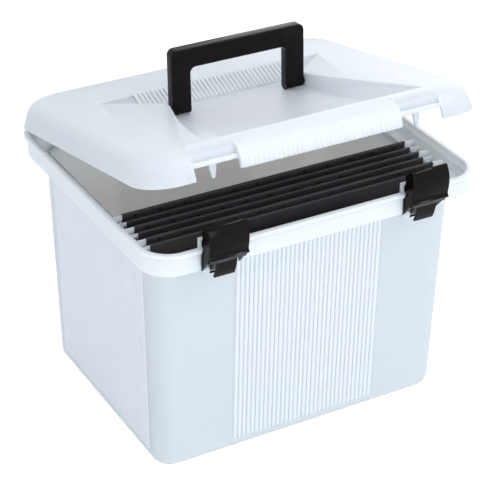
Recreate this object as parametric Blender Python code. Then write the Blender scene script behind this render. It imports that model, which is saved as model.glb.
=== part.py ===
"""Portable file box: open-topped tub, hinged lid with a folding handle, two latches, three folders.

Metres. +X runs along the width, +Y towards the hinge, +Z up. The origin is the middle of the base.
The lid stands ajar, as it rests on nothing, and the handle stands nearly upright.
"""
import math

import bmesh
import bpy
from mathutils import Matrix, Vector

# Tub
BASE_HALF_X = 0.1505
BASE_HALF_Y = 0.11675
WALL_LEAN = 0.0045
MOUTH_HALF_X = BASE_HALF_X + WALL_LEAN
MOUTH_HALF_Y = BASE_HALF_Y + WALL_LEAN
TUB_CORNER = 0.018
TUB_WALL = 0.0022
FLOOR_THICK = 0.0025
BASE_EDGE = 0.007
SHELF_Z = 0.2212
SHELF_THICK = 0.0022
SHELF_WIDE_X = 0.0104
SHELF_WIDE_Y = 0.01875
RAIL_RISE = 0.0031
RAIL_THICK = 0.0030
RAIL_TOP_Z = SHELF_Z + SHELF_THICK + RAIL_RISE
OVERRUN = 0.004
FACE_LAP = 0.0001
CORNER_STEPS = 6
EDGE_STEPS = 3
MITRE_LIMIT_SHARE = 0.5
SMOOTH_ANGLE_DEG = 30.0

# Rim round the mouth of the tub
RIM_INNER_HALF_X = MOUTH_HALF_X + SHELF_WIDE_X
RIM_INNER_HALF_Y = MOUTH_HALF_Y + SHELF_WIDE_Y
RIM_WALL = 0.0030
RIM_HIGH = 0.0218
RIM_TOP_Z = SHELF_Z + RIM_HIGH
RIM_CORNER = 0.026
SEAT_DOWN = 0.0073
SEAT_Z = RIM_TOP_Z - SEAT_DOWN
SEAT_LEDGE = 0.0024
BEAD_OUT = 0.0031
BEAD_HIGH = 0.0036
BEAD_LEAD = 0.0020
BEAD_ROUND = 0.0008

# Lid, measured closed: it stands on the rim, nearly flush with the bead
LID_SEAT_GAP = 0.0003
LID_SET_BACK = 0.0007
LID_BASE_Z = RIM_TOP_Z + LID_SEAT_GAP
LID_HEIGHT = 0.0255
LID_TOP_Z = LID_BASE_Z + LID_HEIGHT
LID_HALF_X = RIM_INNER_HALF_X + RIM_WALL + BEAD_OUT - LID_SET_BACK
LID_HALF_Y = RIM_INNER_HALF_Y + RIM_WALL + BEAD_OUT - LID_SET_BACK
LID_CORNER = RIM_CORNER + RIM_WALL + BEAD_OUT - LID_SET_BACK
LID_WALL = 0.0024
LID_AJAR_DEG = 12.0
LID_FRONT_SLOPE = 0.0230
LID_SIDE_SLOPE = 0.0180
LID_REAR_SLOPE = 0.0180
LID_CORNER_LOSS = 0.0060
# height, share of the slope used up, share of the corner loss
LID_LEVEL_SHARES = ((0.0, 0.0, 0.0), (0.42, 0.16, 0.0), (0.72, 0.34, 0.2), (0.90, 0.62, 0.6),
                    (1.0, 1.0, 1.0))

# Handle
HANDLE_HALF = 0.0690
HANDLE_HEIGHT = 0.0585
HANDLE_THICK = 0.0110
HANDLE_LEG = 0.0190
HANDLE_BAR = 0.0190
HANDLE_EDGE = 0.0013
HANDLE_EDGE_STEPS = 2
HANDLE_EDGE_ANGLE_DEG = 40.0
HANDLE_OUTER_R = 0.0060
HANDLE_INNER_R = 0.0055
HANDLE_LEAN_DEG = 9.0
HANDLE_Y = 0.0085
HANDLE_FLOOR_GAP = 0.0005
HANDLE_PIN_R = 0.0030
HANDLE_PIN_LONG = 0.0042
HANDLE_PIN_CLEAR = 0.0003
KNUCKLE_INSET = 0.0002
ARC_STEPS = 4

# Handle well in the lid
WELL_DEPTH = 0.0130
WELL_SIDE_GAP = 0.0010
WELL_FRONT_LAND = 0.0040
WELL_REAR_LAND = 0.0080
WELL_FRONT_RUN = 0.0030
WELL_REAR_RUN = 0.0300
WELL_FRONT_Y = LID_FRONT_SLOPE + WELL_FRONT_LAND - LID_HALF_Y
WELL_REAR_Y = LID_HALF_Y - LID_REAR_SLOPE - WELL_REAR_LAND
WELL_END_LAND = 0.0328
WELL_END_RUN = 0.0300
WELL_END_HALF = LID_HALF_X - LID_SIDE_SLOPE - WELL_END_LAND
WELL_FLOOR_END_HALF = WELL_END_HALF - WELL_END_RUN
WELL_WAIST_HALF = HANDLE_HALF + WELL_SIDE_GAP
WELL_DRAFT = 0.0006
WELL_FLARE_POWER = 1.15
WELL_END_POWER = 4
WELL_STEPS = 10
WELL_LEVELS = 3

# Latches
LATCH_PLACE_SHARE = 0.62
LATCH_X = LATCH_PLACE_SHARE * RIM_INNER_HALF_X
LATCH_HALF = 0.01925
STATION_SINK = 0.0037
STATION_FACE = RIM_INNER_HALF_Y + RIM_WALL - STATION_SINK
STATION_THICK = 0.0032
STATION_RISE = 0.0070
STATION_TOP_Z = RIM_TOP_Z + STATION_RISE
STATION_GAP = 0.0015
STATION_NIB = 0.0032
NIB_DOWN = 0.0018
NIB_Z = RIM_TOP_Z - NIB_DOWN
LATCH_PIN_OUT = 0.0002
LATCH_PIN_DOWN = 0.0036
LATCH_PIN_Y = -STATION_FACE - LATCH_PIN_OUT
LATCH_PIN_Z = SHELF_Z - LATCH_PIN_DOWN
LATCH_PIN_R = 0.0017
LATCH_PIN_CLEAR = 0.0003
LATCH_BARREL_WALL = 0.0014
LATCH_BARREL_START_DEG = 150.0
LATCH_BARREL_END_DEG = -130.0
LATCH_HIGH = 0.0498
LATCH_DEEP = 0.0191
LATCH_SKIN = 0.0024
LATCH_CHEEK = 0.0024
LATCH_SIDE_INSET = 0.0002
LATCH_TONGUE_HALF = 0.0110
LATCH_TAB_HALF = 0.0100
LATCH_TAB_THICK = 0.0020
LUG_THICK = 0.0030
LUG_GAP = 0.0006
LUG_R = 0.0032
# outward and upward shares of the latch's depth and height, from its pin
HOOK_UP_SHARE = 0.828
SKIN_SHARES = ((0.555, 0.985), (0.665, 0.942), (0.800, 0.840), (0.855, 0.720), (0.858, 0.600),
               (0.805, 0.462), (0.835, 0.405), (0.925, 0.368))
TONGUE_SHARES = ((0.840, 0.385), (0.640, 0.275), (0.190, 0.105), (0.120, 0.040))
WEB_SHARES = ((0.800, 0.835), (0.330, HOOK_UP_SHARE), (0.115, HOOK_UP_SHARE))
TAB_SHARES = ((0.640, 0.275), (0.560, 0.140), (0.470, 0.020), (0.360, -0.080))
CHEEK_SHARES = ((0.555, 0.975), (0.640, 0.930), (0.790, 0.820), (0.840, 0.720), (0.840, 0.600),
                (0.790, 0.462), (0.790, 0.370), (0.640, 0.290), (0.230, 0.100), (0.150, -0.020),
                (-0.050, -0.060), (-0.160, 0.010), (-0.090, 0.054), (0.100, 0.062), (0.128, 0.100),
                (0.131, 0.410), (0.330, 0.497), (0.131, 0.540), (0.131, 0.640), (0.215, 0.690),
                (0.215, 0.800), (0.140, 0.830))

# Ribbed grip, latch lips and their webs along the lid's front
GRIP_END_GAP = 0.0004
GRIP_PROUD = 0.0045
GRIP_RIB_COUNT = 33
GRIP_RIB_PROUD = 0.0009
GRIP_RIB_PITCH = 0.0047
GRIP_FLANK_SHARE = 0.425
GRIP_CREST_SHARE = 0.175
GRIP_LIFT = 0.0020
# drop below the lid's top, swell in front of its face, depth of the ribs
BROW_SHARES = ((0.07, 0.05, 0.0), (0.12, 0.55, 0.3), (0.25, 1.0, 0.8), (0.45, 0.88, 1.0),
               (0.70, 0.60, 1.0), (1.0, 0.10, 0.8))
BROW_BACK_SHARES = (1.0, 0.7, 0.45, 0.25, 0.12)
NOTCH_GAP = 0.0015
NOTCH_DEEP = 0.0093
NOTCH_ROOF = 0.0043
LIP_THICK = 0.0024
LIP_SET_BACK = 0.0031
LIP_CATCH = 0.0040
LIP_CATCH_OUT = 0.0009
LIP_BEND = 0.0018
CATCH_CLEAR = 0.0004
FIN_THICK = 0.0024
FIN_TOP_HALF = 0.0045
FIN_TIP_HALF = 0.0012
FIN_DROP = 0.0140

# Rear hinge
HINGE_OUT = 0.0085
HINGE_DOWN = 0.0012
HINGE_Y = RIM_INNER_HALF_Y + RIM_WALL + HINGE_OUT
HINGE_Z = RIM_TOP_Z - HINGE_DOWN
HINGE_PIN_R = 0.0020
HINGE_CLEAR = 0.0003
HINGE_CLIP_THICK = 0.0018
HINGE_CLIP_ROOT = 0.0038
HINGE_X = 0.0950
HINGE_CLIP_HALF = 0.0120
HINGE_EAR_GAP = 0.0006
HINGE_EAR_THICK = 0.0030
HINGE_EAR_R = 0.0042
HINGE_EAR_START_DEG = -50.0
HINGE_EAR_END_DEG = 110.0
CLIP_START_DEG = 90.0
CLIP_SWEEP_DEG = 220.0

# Upright ribs on the tub walls
RIB_PITCH = 0.0046
RIB_BASE = 0.0030
RIB_CREST = 0.0018
RIB_PROUD = 0.0009
RIB_ROOT = 0.0010
RIB_END_GAP = 0.0025
RIB_LATCH_MARGIN = 0.0088
RIB_CORNER_MARGIN = 0.0067
FRONT_RIB_HALF = LATCH_X - LATCH_HALF - RIB_LATCH_MARGIN
SIDE_RIB_HALF = BASE_HALF_Y - TUB_CORNER - RIB_CORNER_MARGIN

# Hanging folders
FOLDER_SIDE_GAP = 0.00275
FOLDER_FOOT_GAP_X = 0.0018
FOLDER_HALF = MOUTH_HALF_X - RAIL_THICK - FOLDER_SIDE_GAP
FOLDER_FOOT_HALF = BASE_HALF_X - TUB_WALL - FOLDER_FOOT_GAP_X
FOLDER_CARD = 0.0006
FOLDER_FOOT_LIFT = 0.0070
FOLDER_FOOT_Z = FLOOR_THICK + FOLDER_FOOT_LIFT
FOLDER_FRONT_RISE = 0.0051
FOLDER_REAR_RISE = 0.0077
FOLDER_FRONT_TOP_Z = RAIL_TOP_Z + FOLDER_FRONT_RISE
FOLDER_REAR_TOP_Z = RAIL_TOP_Z + FOLDER_REAR_RISE
FOLDER_HEM_DROP = 0.0130
FOLDER_TAPER_DROP = 0.0060
FOLDER_FOOT_GAP = 0.0030
# places along the mouth's half depth
FOLDER_FRONT_SHARES = (-0.437, -0.622, -0.8165)
FOLDER_REAR_SHARES = (-0.363, -0.561, -0.753)
FOLDER_NAMES = ("folder_a", "folder_b", "folder_c")
SLOT_COUNT = 12
SLOT_WIDE = 0.0022
SLOT_HIGH = 0.0036
SLOT_DOWN = 0.0026
ROD_THICK = 0.0012
ROD_CLEAR = 0.0003
ROD_HIGH = 0.0080
ROD_END_GAP = 0.0010
ROD_HALF = RIM_INNER_HALF_X - SEAT_LEDGE - ROD_END_GAP
ROD_TIP_DROP = 0.0023
ROD_TIP_LONG = 0.0042
ROD_SEAT_GAP = 0.0003

# Materials
TUB_COLOUR = (0.86, 0.89, 0.92, 1.0)
TUB_ROUGHNESS = 0.35
LID_COLOUR = (0.83, 0.86, 0.89, 1.0)
LID_ROUGHNESS = 0.38
BLACK_COLOUR = (0.022, 0.016, 0.018, 1.0)
BLACK_ROUGHNESS = 0.22
CARD_COLOUR = (0.034, 0.028, 0.034, 1.0)
CARD_ROUGHNESS = 0.6
ROD_COLOUR = (0.88, 0.90, 0.92, 1.0)
ROD_ROUGHNESS = 0.4


def clear_scene():
    for obj in list(bpy.data.objects):
        bpy.data.objects.remove(obj, do_unlink=True)


def make_material(name, colour, roughness):
    material = bpy.data.materials.new(name)
    material.use_nodes = True
    shader = material.node_tree.nodes["Principled BSDF"]
    shader.inputs["Base Color"].default_value = colour
    shader.inputs["Roughness"].default_value = roughness
    shader.inputs["Metallic"].default_value = 0.0
    return material


def add_object(name, bm, material=None):
    bmesh.ops.recalc_face_normals(bm, faces=bm.faces[:])
    mesh = bpy.data.meshes.new(name)
    bm.to_mesh(mesh)
    bm.free()
    mesh.shade_smooth()
    mesh.set_sharp_from_angle(angle=math.radians(SMOOTH_ANGLE_DEG))
    obj = bpy.data.objects.new(name, mesh)
    bpy.context.scene.collection.objects.link(obj)
    if material:
        mesh.materials.append(material)
    return obj


def make_tool(name, bm):
    tool = add_object(name, bm)
    tool.hide_render = True
    tool.display_type = "WIRE"
    return tool


def boolean(obj, tool, operation):
    step = obj.modifiers.new(operation.lower() + "_" + tool.name, "BOOLEAN")
    step.solver = "EXACT"
    step.operation = operation
    step.object = tool


def ring(half_x, front, rear, radius, z):
    """One level of a rounded rectangle, from the right-hand rear corner anticlockwise."""
    corners = (
        (half_x - radius, rear - radius, 0.0),
        (-half_x + radius, rear - radius, 90.0),
        (-half_x + radius, front + radius, 180.0),
        (half_x - radius, front + radius, 270.0),
    )
    points = []
    for x, y, start in corners:
        for step in range(CORNER_STEPS + 1):
            angle = math.radians(start + 90.0 * step / CORNER_STEPS)
            points.append(Vector((x + radius * math.cos(angle), y + radius * math.sin(angle), z)))
    return points


def even_ring(half_x, half_y, radius, z):
    return ring(half_x, -half_y, half_y, radius, z)


def loft(rings):
    """A closed skin through rings with the same number of points."""
    bm = bmesh.new()
    levels = [[bm.verts.new(point) for point in level] for level in rings]
    count = len(levels[0])
    for lower, upper in zip(levels, levels[1:]):
        for index in range(count):
            after = (index + 1) % count
            bm.faces.new((lower[index], lower[after], upper[after], upper[index]))
    bm.faces.new(levels[0])
    bm.faces.new(levels[-1])
    return bm


def add_prism(bm, outline, low, high, axis):
    """Extrude an outline along X or Y into the mesh; the outline holds the other two coordinates."""
    def place(point, along):
        if axis == "X":
            return Vector((along, point[0], point[1]))
        return Vector((point[0], along, point[1]))
    near = [bm.verts.new(place(point, low)) for point in outline]
    far = [bm.verts.new(place(point, high)) for point in outline]
    count = len(outline)
    for index in range(count):
        after = (index + 1) % count
        bm.faces.new((near[index], near[after], far[after], far[index]))
    bm.faces.new(near)
    bm.faces.new(far)


def add_block(bm, low, high):
    outline = ((low[1], low[2]), (high[1], low[2]), (high[1], high[2]), (low[1], high[2]))
    add_prism(bm, outline, low[0], high[0], "X")


def arc(centre, radius, start, end, steps):
    points = []
    for step in range(steps + 1):
        angle = math.radians(start + (end - start) * step / steps)
        points.append((centre[0] + radius * math.cos(angle), centre[1] + radius * math.sin(angle)))
    return points


def band(path, thickness):
    """The outline of a strip of even thickness along an open path."""
    points = [Vector(point) for point in path]
    left, right = [], []
    for index, point in enumerate(points):
        before = points[max(index - 1, 0)]
        after = points[min(index + 1, len(points) - 1)]
        into = (point - before) if index else (after - point)
        out = (after - point) if index < len(points) - 1 else into
        into, out = into.normalized(), out.normalized()
        across = (into + out).normalized()
        normal = Vector((-across.y, across.x))
        reach = thickness / 2 / max(across.dot(into), MITRE_LIMIT_SHARE)
        left.append(point + normal * reach)
        right.append(point - normal * reach)
    return left + right[::-1]


def lerp(low, high, share):
    return low + (high - low) * share


def add_wall_rib(bm, along, half_at_base, half_at_mouth, side, faces_x):
    """One upright rib on a drafted wall, rooted in the wall and tapering to its crest."""
    low_z = BASE_EDGE + RIB_END_GAP
    high_z = SHELF_Z - RIB_END_GAP
    verts = []
    for z in (low_z, high_z):
        wall = lerp(half_at_base, half_at_mouth, z / SHELF_Z)
        section = ((-RIB_BASE / 2, wall - RIB_ROOT), (RIB_BASE / 2, wall - RIB_ROOT),
                   (RIB_BASE / 2, wall), (RIB_CREST / 2, wall + RIB_PROUD),
                   (-RIB_CREST / 2, wall + RIB_PROUD), (-RIB_BASE / 2, wall))
        for across, out in section:
            place = (side * out, along + across, z) if faces_x else (along + across, side * out, z)
            verts.append(bm.verts.new(place))
    count = len(verts) // 2
    for index in range(count):
        after = (index + 1) % count
        bm.faces.new((verts[index], verts[after], verts[count + after], verts[count + index]))
    bm.faces.new(verts[:count])
    bm.faces.new(verts[count:])


def rib_places(half):
    steps = int(half / RIB_PITCH)
    return [RIB_PITCH * step for step in range(-steps, steps + 1)]


def make_wall_ribs():
    bm = bmesh.new()
    for side in (-1, 1):
        for along in rib_places(FRONT_RIB_HALF):
            add_wall_rib(bm, along, BASE_HALF_Y, MOUTH_HALF_Y, side, False)
        for along in rib_places(SIDE_RIB_HALF):
            add_wall_rib(bm, along, BASE_HALF_X, MOUTH_HALF_X, side, True)
    return make_tool("wall_ribs", bm)


def tub_rings():
    """Up the outside, over the rim, down the inside to the floor."""
    shelf_top = SHELF_Z + SHELF_THICK
    rim_x = RIM_INNER_HALF_X + RIM_WALL
    rim_y = RIM_INNER_HALF_Y + RIM_WALL
    rim_r = RIM_CORNER + RIM_WALL
    bead_z = RIM_TOP_Z - BEAD_HIGH
    seat_x = RIM_INNER_HALF_X - SEAT_LEDGE
    seat_y = RIM_INNER_HALF_Y - SEAT_LEDGE
    seat_r = RIM_CORNER - SEAT_LEDGE
    rings = []
    for step in range(EDGE_STEPS + 1):
        turn = math.radians(90.0 * step / EDGE_STEPS)
        inset = BASE_EDGE * (1 - math.sin(turn))
        rings.append(even_ring(BASE_HALF_X - inset, BASE_HALF_Y - inset, TUB_CORNER - inset,
                               BASE_EDGE * (1 - math.cos(turn))))
    rings.append(even_ring(MOUTH_HALF_X, MOUTH_HALF_Y, TUB_CORNER, SHELF_Z))
    rings.append(even_ring(rim_x - BEAD_ROUND, rim_y - BEAD_ROUND, rim_r - BEAD_ROUND, SHELF_Z))
    rings.append(even_ring(rim_x, rim_y, rim_r, SHELF_Z + BEAD_ROUND))
    rings.append(even_ring(rim_x, rim_y, rim_r, bead_z - BEAD_LEAD))
    rings.append(even_ring(rim_x + BEAD_OUT, rim_y + BEAD_OUT, rim_r + BEAD_OUT, bead_z))
    bead_in = BEAD_OUT - BEAD_ROUND
    rings.append(even_ring(rim_x + BEAD_OUT, rim_y + BEAD_OUT, rim_r + BEAD_OUT, RIM_TOP_Z - BEAD_ROUND))
    rings.append(even_ring(rim_x + bead_in, rim_y + bead_in, rim_r + bead_in, RIM_TOP_Z))
    rings.append(even_ring(RIM_INNER_HALF_X, RIM_INNER_HALF_Y, RIM_CORNER, RIM_TOP_Z))
    rings.append(even_ring(RIM_INNER_HALF_X, RIM_INNER_HALF_Y, RIM_CORNER, SEAT_Z))
    rings.append(even_ring(seat_x, seat_y, seat_r, SEAT_Z))
    rings.append(even_ring(seat_x, seat_y, seat_r, shelf_top))
    rings.append(even_ring(MOUTH_HALF_X, MOUTH_HALF_Y, TUB_CORNER, shelf_top))
    rings.append(even_ring(MOUTH_HALF_X, MOUTH_HALF_Y, TUB_CORNER, RAIL_TOP_Z))
    inner_r = TUB_CORNER - RAIL_THICK
    rings.append(even_ring(MOUTH_HALF_X - RAIL_THICK, MOUTH_HALF_Y - RAIL_THICK, inner_r, RAIL_TOP_Z))
    rings.append(even_ring(MOUTH_HALF_X - TUB_WALL, MOUTH_HALF_Y - TUB_WALL, TUB_CORNER - TUB_WALL,
                           SHELF_Z - RAIL_THICK))
    inner_edge = BASE_EDGE - TUB_WALL
    for step in range(EDGE_STEPS, -1, -1):
        turn = math.radians(90.0 * step / EDGE_STEPS)
        inset = TUB_WALL + inner_edge * (1 - math.sin(turn))
        rings.append(even_ring(BASE_HALF_X - inset, BASE_HALF_Y - inset, TUB_CORNER - inset,
                               FLOOR_THICK + inner_edge * (1 - math.cos(turn))))
    return rings


def station_half():
    return LATCH_HALF + STATION_GAP


def make_station_cut():
    """The bead and fascia stop where a latch sits against the rim."""
    bm = bmesh.new()
    outer = RIM_INNER_HALF_Y + RIM_WALL + BEAD_OUT + OVERRUN
    for side in (-1, 1):
        low = (side * LATCH_X - station_half(), -outer, SHELF_Z - OVERRUN)
        high = (side * LATCH_X + station_half(), -STATION_FACE, RIM_TOP_Z + OVERRUN)
        add_block(bm, low, high)
    return make_tool("station_cut", bm)


def station_outline():
    back = -STATION_FACE + STATION_THICK
    face = -STATION_FACE - FACE_LAP
    nib = -STATION_FACE - STATION_NIB
    foot = SHELF_Z + SHELF_THICK / 2
    return ((back, foot), (face, foot), (face, NIB_Z - BEAD_ROUND), (nib, NIB_Z),
            (nib, NIB_Z + BEAD_ROUND), (face, RIM_TOP_Z), (face, STATION_TOP_Z), (back, STATION_TOP_Z))


def lug_outline():
    """A half-round ear that hangs from the rim's floor round the latch pin."""
    root = SHELF_Z + SHELF_THICK / 4
    around = arc((LATCH_PIN_Y, LATCH_PIN_Z), LUG_R, 180.0, 360.0, 2 * ARC_STEPS)
    return [(LATCH_PIN_Y - LUG_R, root)] + around + [(LATCH_PIN_Y + LUG_R, root)]


def ear_outline():
    """An ear on the rear of the rim that carries the hinge pin."""
    root_y = RIM_INNER_HALF_Y + RIM_WALL + BEAD_ROUND
    foot = RIM_TOP_Z - BEAD_HIGH - BEAD_LEAD
    around = arc((HINGE_Y, HINGE_Z), HINGE_EAR_R, HINGE_EAR_START_DEG, HINGE_EAR_END_DEG,
                 2 * ARC_STEPS)
    return [(root_y, foot), (root_y + BEAD_OUT, foot)] + around + [(root_y, HINGE_Z)]


def make_rim_blocks():
    bm = bmesh.new()
    lug_x = LATCH_TONGUE_HALF + LUG_GAP
    ear_x = HINGE_CLIP_HALF + HINGE_EAR_GAP
    inner_half = station_half() - STATION_GAP / 2
    for side in (-1, 1):
        centre = side * LATCH_X
        add_prism(bm, station_outline(), centre - inner_half, centre + inner_half, "X")
        for hand in (-1, 1):
            ends = sorted((centre + hand * lug_x, centre + hand * (lug_x + LUG_THICK)))
            add_prism(bm, lug_outline(), ends[0], ends[1], "X")
            middle = side * HINGE_X
            ends = sorted((middle + hand * ear_x, middle + hand * (ear_x + HINGE_EAR_THICK)))
            add_prism(bm, ear_outline(), ends[0], ends[1], "X")
    return make_tool("rim_blocks", bm)


def make_rim_pins():
    """Moulded pins: a short one behind each latch and a longer one at each hinge."""
    bm = bmesh.new()
    latch_reach = LATCH_TONGUE_HALF + LUG_GAP + LUG_THICK / 2
    hinge_reach = HINGE_CLIP_HALF + HINGE_EAR_GAP + HINGE_EAR_THICK / 2
    sides = 3 * ARC_STEPS
    latch_ring = arc((LATCH_PIN_Y, LATCH_PIN_Z), LATCH_PIN_R, 0.0, 360.0, sides)[:-1]
    hinge_ring = arc((HINGE_Y, HINGE_Z), HINGE_PIN_R, 0.0, 360.0, sides)[:-1]
    for side in (-1, 1):
        add_prism(bm, latch_ring, side * LATCH_X - latch_reach, side * LATCH_X + latch_reach, "X")
        add_prism(bm, hinge_ring, side * HINGE_X - hinge_reach, side * HINGE_X + hinge_reach, "X")
    return make_tool("rim_pins", bm)


def make_tub(material):
    tub = add_object("box_shell", loft(tub_rings()), material)
    boolean(tub, make_station_cut(), "DIFFERENCE")
    boolean(tub, make_wall_ribs(), "UNION")
    boolean(tub, make_rim_blocks(), "UNION")
    boolean(tub, make_rim_pins(), "UNION")
    return tub


def lid_ring(height_share, slope_share, corner_share, inset, z):
    half_x = LID_HALF_X - LID_SIDE_SLOPE * slope_share - inset
    front = -LID_HALF_Y + LID_FRONT_SLOPE * slope_share + inset
    rear = LID_HALF_Y - LID_REAR_SLOPE * slope_share - inset
    radius = LID_CORNER - LID_CORNER_LOSS * corner_share - inset
    return ring(half_x, front, rear, radius, z)


def lid_front(z):
    """Where the lid's front face lies at a height, from the same levels as its rings."""
    share = (z - LID_BASE_Z) / LID_HEIGHT
    for lower, upper in zip(LID_LEVEL_SHARES, LID_LEVEL_SHARES[1:]):
        if share <= upper[0]:
            part = (share - lower[0]) / (upper[0] - lower[0])
            return -LID_HALF_Y + LID_FRONT_SLOPE * lerp(lower[1], upper[1], part)
    return -LID_HALF_Y + LID_FRONT_SLOPE


def lid_outer():
    rings = [lid_ring(*level, 0.0, LID_BASE_Z + LID_HEIGHT * level[0]) for level in LID_LEVEL_SHARES]
    return loft(rings)


def well_outline(front, rear, end_half, grow, z):
    """A waisted outline that flares from the handle towards both ends."""
    points = []
    for sign in (1, -1):
        for step in range(-WELL_STEPS, WELL_STEPS + 1):
            share = sign * step / WELL_STEPS
            end = rear if share > 0 else front
            y = lerp(HANDLE_Y, end, abs(share))
            half = lerp(WELL_WAIST_HALF, end_half, abs(share) ** WELL_FLARE_POWER)
            y += math.copysign(grow, share) * abs(share) ** WELL_END_POWER
            points.append(Vector((sign * (half + grow), y, z)))
    return points


def make_well(name, grow, drop):
    """The well's hollow, or with grow and drop the skin round it, open at the top."""
    floor_front = WELL_FRONT_Y + WELL_FRONT_RUN
    floor_rear = WELL_REAR_Y - WELL_REAR_RUN
    floor_z = LID_TOP_Z - WELL_DEPTH - drop
    wide = grow + WELL_DRAFT
    rings = []
    for level in range(WELL_LEVELS + 1):
        share = level / WELL_LEVELS
        rings.append(well_outline(
            lerp(floor_front, WELL_FRONT_Y, share), lerp(floor_rear, WELL_REAR_Y, share),
            lerp(WELL_FLOOR_END_HALF, WELL_END_HALF, share), lerp(grow, wide, share),
            lerp(floor_z, LID_TOP_Z - drop, share)))
    rings.append(well_outline(WELL_FRONT_Y, WELL_REAR_Y, WELL_END_HALF, wide, LID_TOP_Z + OVERRUN))
    return make_tool(name, loft(rings))


def make_lid_cavity():
    rings = [lid_ring(*LID_LEVEL_SHARES[0], LID_WALL, LID_BASE_Z - OVERRUN)]
    for level in LID_LEVEL_SHARES:
        rings.append(lid_ring(*level, LID_WALL, LID_BASE_Z + (LID_HEIGHT - LID_WALL) * level[0]))
    cavity = make_tool("lid_cavity", loft(rings))
    boolean(cavity, make_well("well_shell", LID_WALL, LID_WALL + FACE_LAP), "DIFFERENCE")
    return cavity


def notch_half():
    return station_half() + NOTCH_GAP / 2


def lip_foot():
    """The catch ledge's underside; its top lies just below the latch's hook."""
    return LATCH_PIN_Z + LATCH_HIGH * HOOK_UP_SHARE - LATCH_SKIN / 2 - CATCH_CLEAR - LIP_CATCH


def make_skirt_notch():
    """The front skirt is cut away round each latch and lifted between them for the fingers."""
    low = LID_BASE_Z - OVERRUN
    roof = LID_TOP_Z - NOTCH_ROOF
    lift = LID_BASE_Z + GRIP_LIFT
    far = LATCH_X + notch_half()
    near = LATCH_X - notch_half()
    outline = ((-far, low), (-far, roof), (-near, roof), (-near, lift), (near, lift), (near, roof),
               (far, roof), (far, low))
    bm = bmesh.new()
    add_prism(bm, outline, -LID_HALF_Y - OVERRUN, -STATION_FACE + NOTCH_DEEP, "Y")
    return make_tool("skirt_notch", bm)


def brow_outline(proud):
    """The rounded brow that stands in front of the sloping lid front."""
    height = LID_HEIGHT - GRIP_LIFT
    face = []
    for drop, swell, ribbed in BROW_SHARES:
        z = LID_TOP_Z - height * drop
        face.append((lid_front(z) - GRIP_PROUD * swell - proud * ribbed, z))
    back = []
    for drop in BROW_BACK_SHARES:
        z = LID_TOP_Z - height * drop
        back.append((lid_front(z) + LID_WALL / 2, z))
    return face + back


def make_grip():
    """A brow whose face runs in even upright ribs."""
    plain = brow_outline(0.0)
    raised = brow_outline(GRIP_RIB_PROUD)
    flank = GRIP_RIB_PITCH * GRIP_FLANK_SHARE
    crest = GRIP_RIB_PITCH * GRIP_CREST_SHARE
    end = LATCH_X - notch_half() - GRIP_END_GAP
    places = [(-end, plain)]
    first = -GRIP_RIB_PITCH * (GRIP_RIB_COUNT - 1) / 2
    for index in range(GRIP_RIB_COUNT):
        centre = first + GRIP_RIB_PITCH * index
        places.append((centre - flank, plain))
        places.append((centre - crest, raised))
        places.append((centre + crest, raised))
        places.append((centre + flank, plain))
    places.append((end, plain))
    rings = [[Vector((x, point[0], point[1])) for point in outline] for x, outline in places]
    return make_tool("grip", loft(rings))


def lip_outline():
    """A wall that bends down from the lid's crest, with the catch ledge along its foot."""
    foot = lip_foot()
    face_y = -STATION_FACE + LIP_SET_BACK + LIP_THICK / 2
    crest_y = LID_FRONT_SLOPE - LID_HALF_Y
    crest_z = LID_TOP_Z - LIP_THICK / 2 - FACE_LAP
    bend_z = foot + LIP_CATCH + LIP_BEND
    path = []
    for step in range(ARC_STEPS + 1):
        turn = math.radians(90.0 * step / ARC_STEPS)
        path.append((lerp(crest_y, face_y, math.sin(turn)), lerp(bend_z, crest_z, math.cos(turn))))
    path.append((face_y, foot))
    wall = band(path, LIP_THICK)
    catch_y = -STATION_FACE - LIP_CATCH_OUT
    catch_z = foot + LIP_CATCH
    ledge = [(catch_y, foot), (catch_y, catch_z), (face_y - LIP_THICK / 2, catch_z)]
    return wall[:len(path)] + ledge + wall[len(path) + 1:]


def make_lips():
    bm = bmesh.new()
    half = notch_half() + BEAD_ROUND
    for side in (-1, 1):
        add_prism(bm, lip_outline(), side * LATCH_X - half, side * LATCH_X + half, "X")
    return make_tool("latch_lips", bm)


def clip_outline():
    """An arm that leaves the lid's rear wall and wraps over and round the hinge pin."""
    radius = HINGE_PIN_R + HINGE_CLEAR + HINGE_CLIP_THICK / 2
    start = (LID_HALF_Y - HINGE_CLIP_ROOT, HINGE_Z + radius)
    end_deg = CLIP_START_DEG - CLIP_SWEEP_DEG
    around = arc((HINGE_Y, HINGE_Z), radius, CLIP_START_DEG, end_deg, 3 * ARC_STEPS)
    return band([start] + around, HINGE_CLIP_THICK)


def make_fins():
    """A tapered tooth hangs behind each lip and guides the lid down inside the latch plate."""
    bm = bmesh.new()
    foot = lip_foot()
    front = -STATION_FACE + STATION_THICK + STATION_GAP
    root = foot + LIP_CATCH / 2
    for side in (-1, 1):
        middle = side * LATCH_X
        fin = ((middle - FIN_TOP_HALF, root), (middle - FIN_TIP_HALF, foot - FIN_DROP),
               (middle + FIN_TIP_HALF, foot - FIN_DROP), (middle + FIN_TOP_HALF, root))
        add_prism(bm, fin, front, front + FIN_THICK, "Y")
    return make_tool("lid_fins", bm)


def make_clips():
    bm = bmesh.new()
    for side in (-1, 1):
        middle = side * HINGE_X
        add_prism(bm, clip_outline(), middle - HINGE_CLIP_HALF, middle + HINGE_CLIP_HALF, "X")
    return make_tool("lid_clips", bm)


def handle_z():
    return LID_TOP_Z - WELL_DEPTH + HANDLE_FLOOR_GAP + HANDLE_THICK / 2


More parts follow.
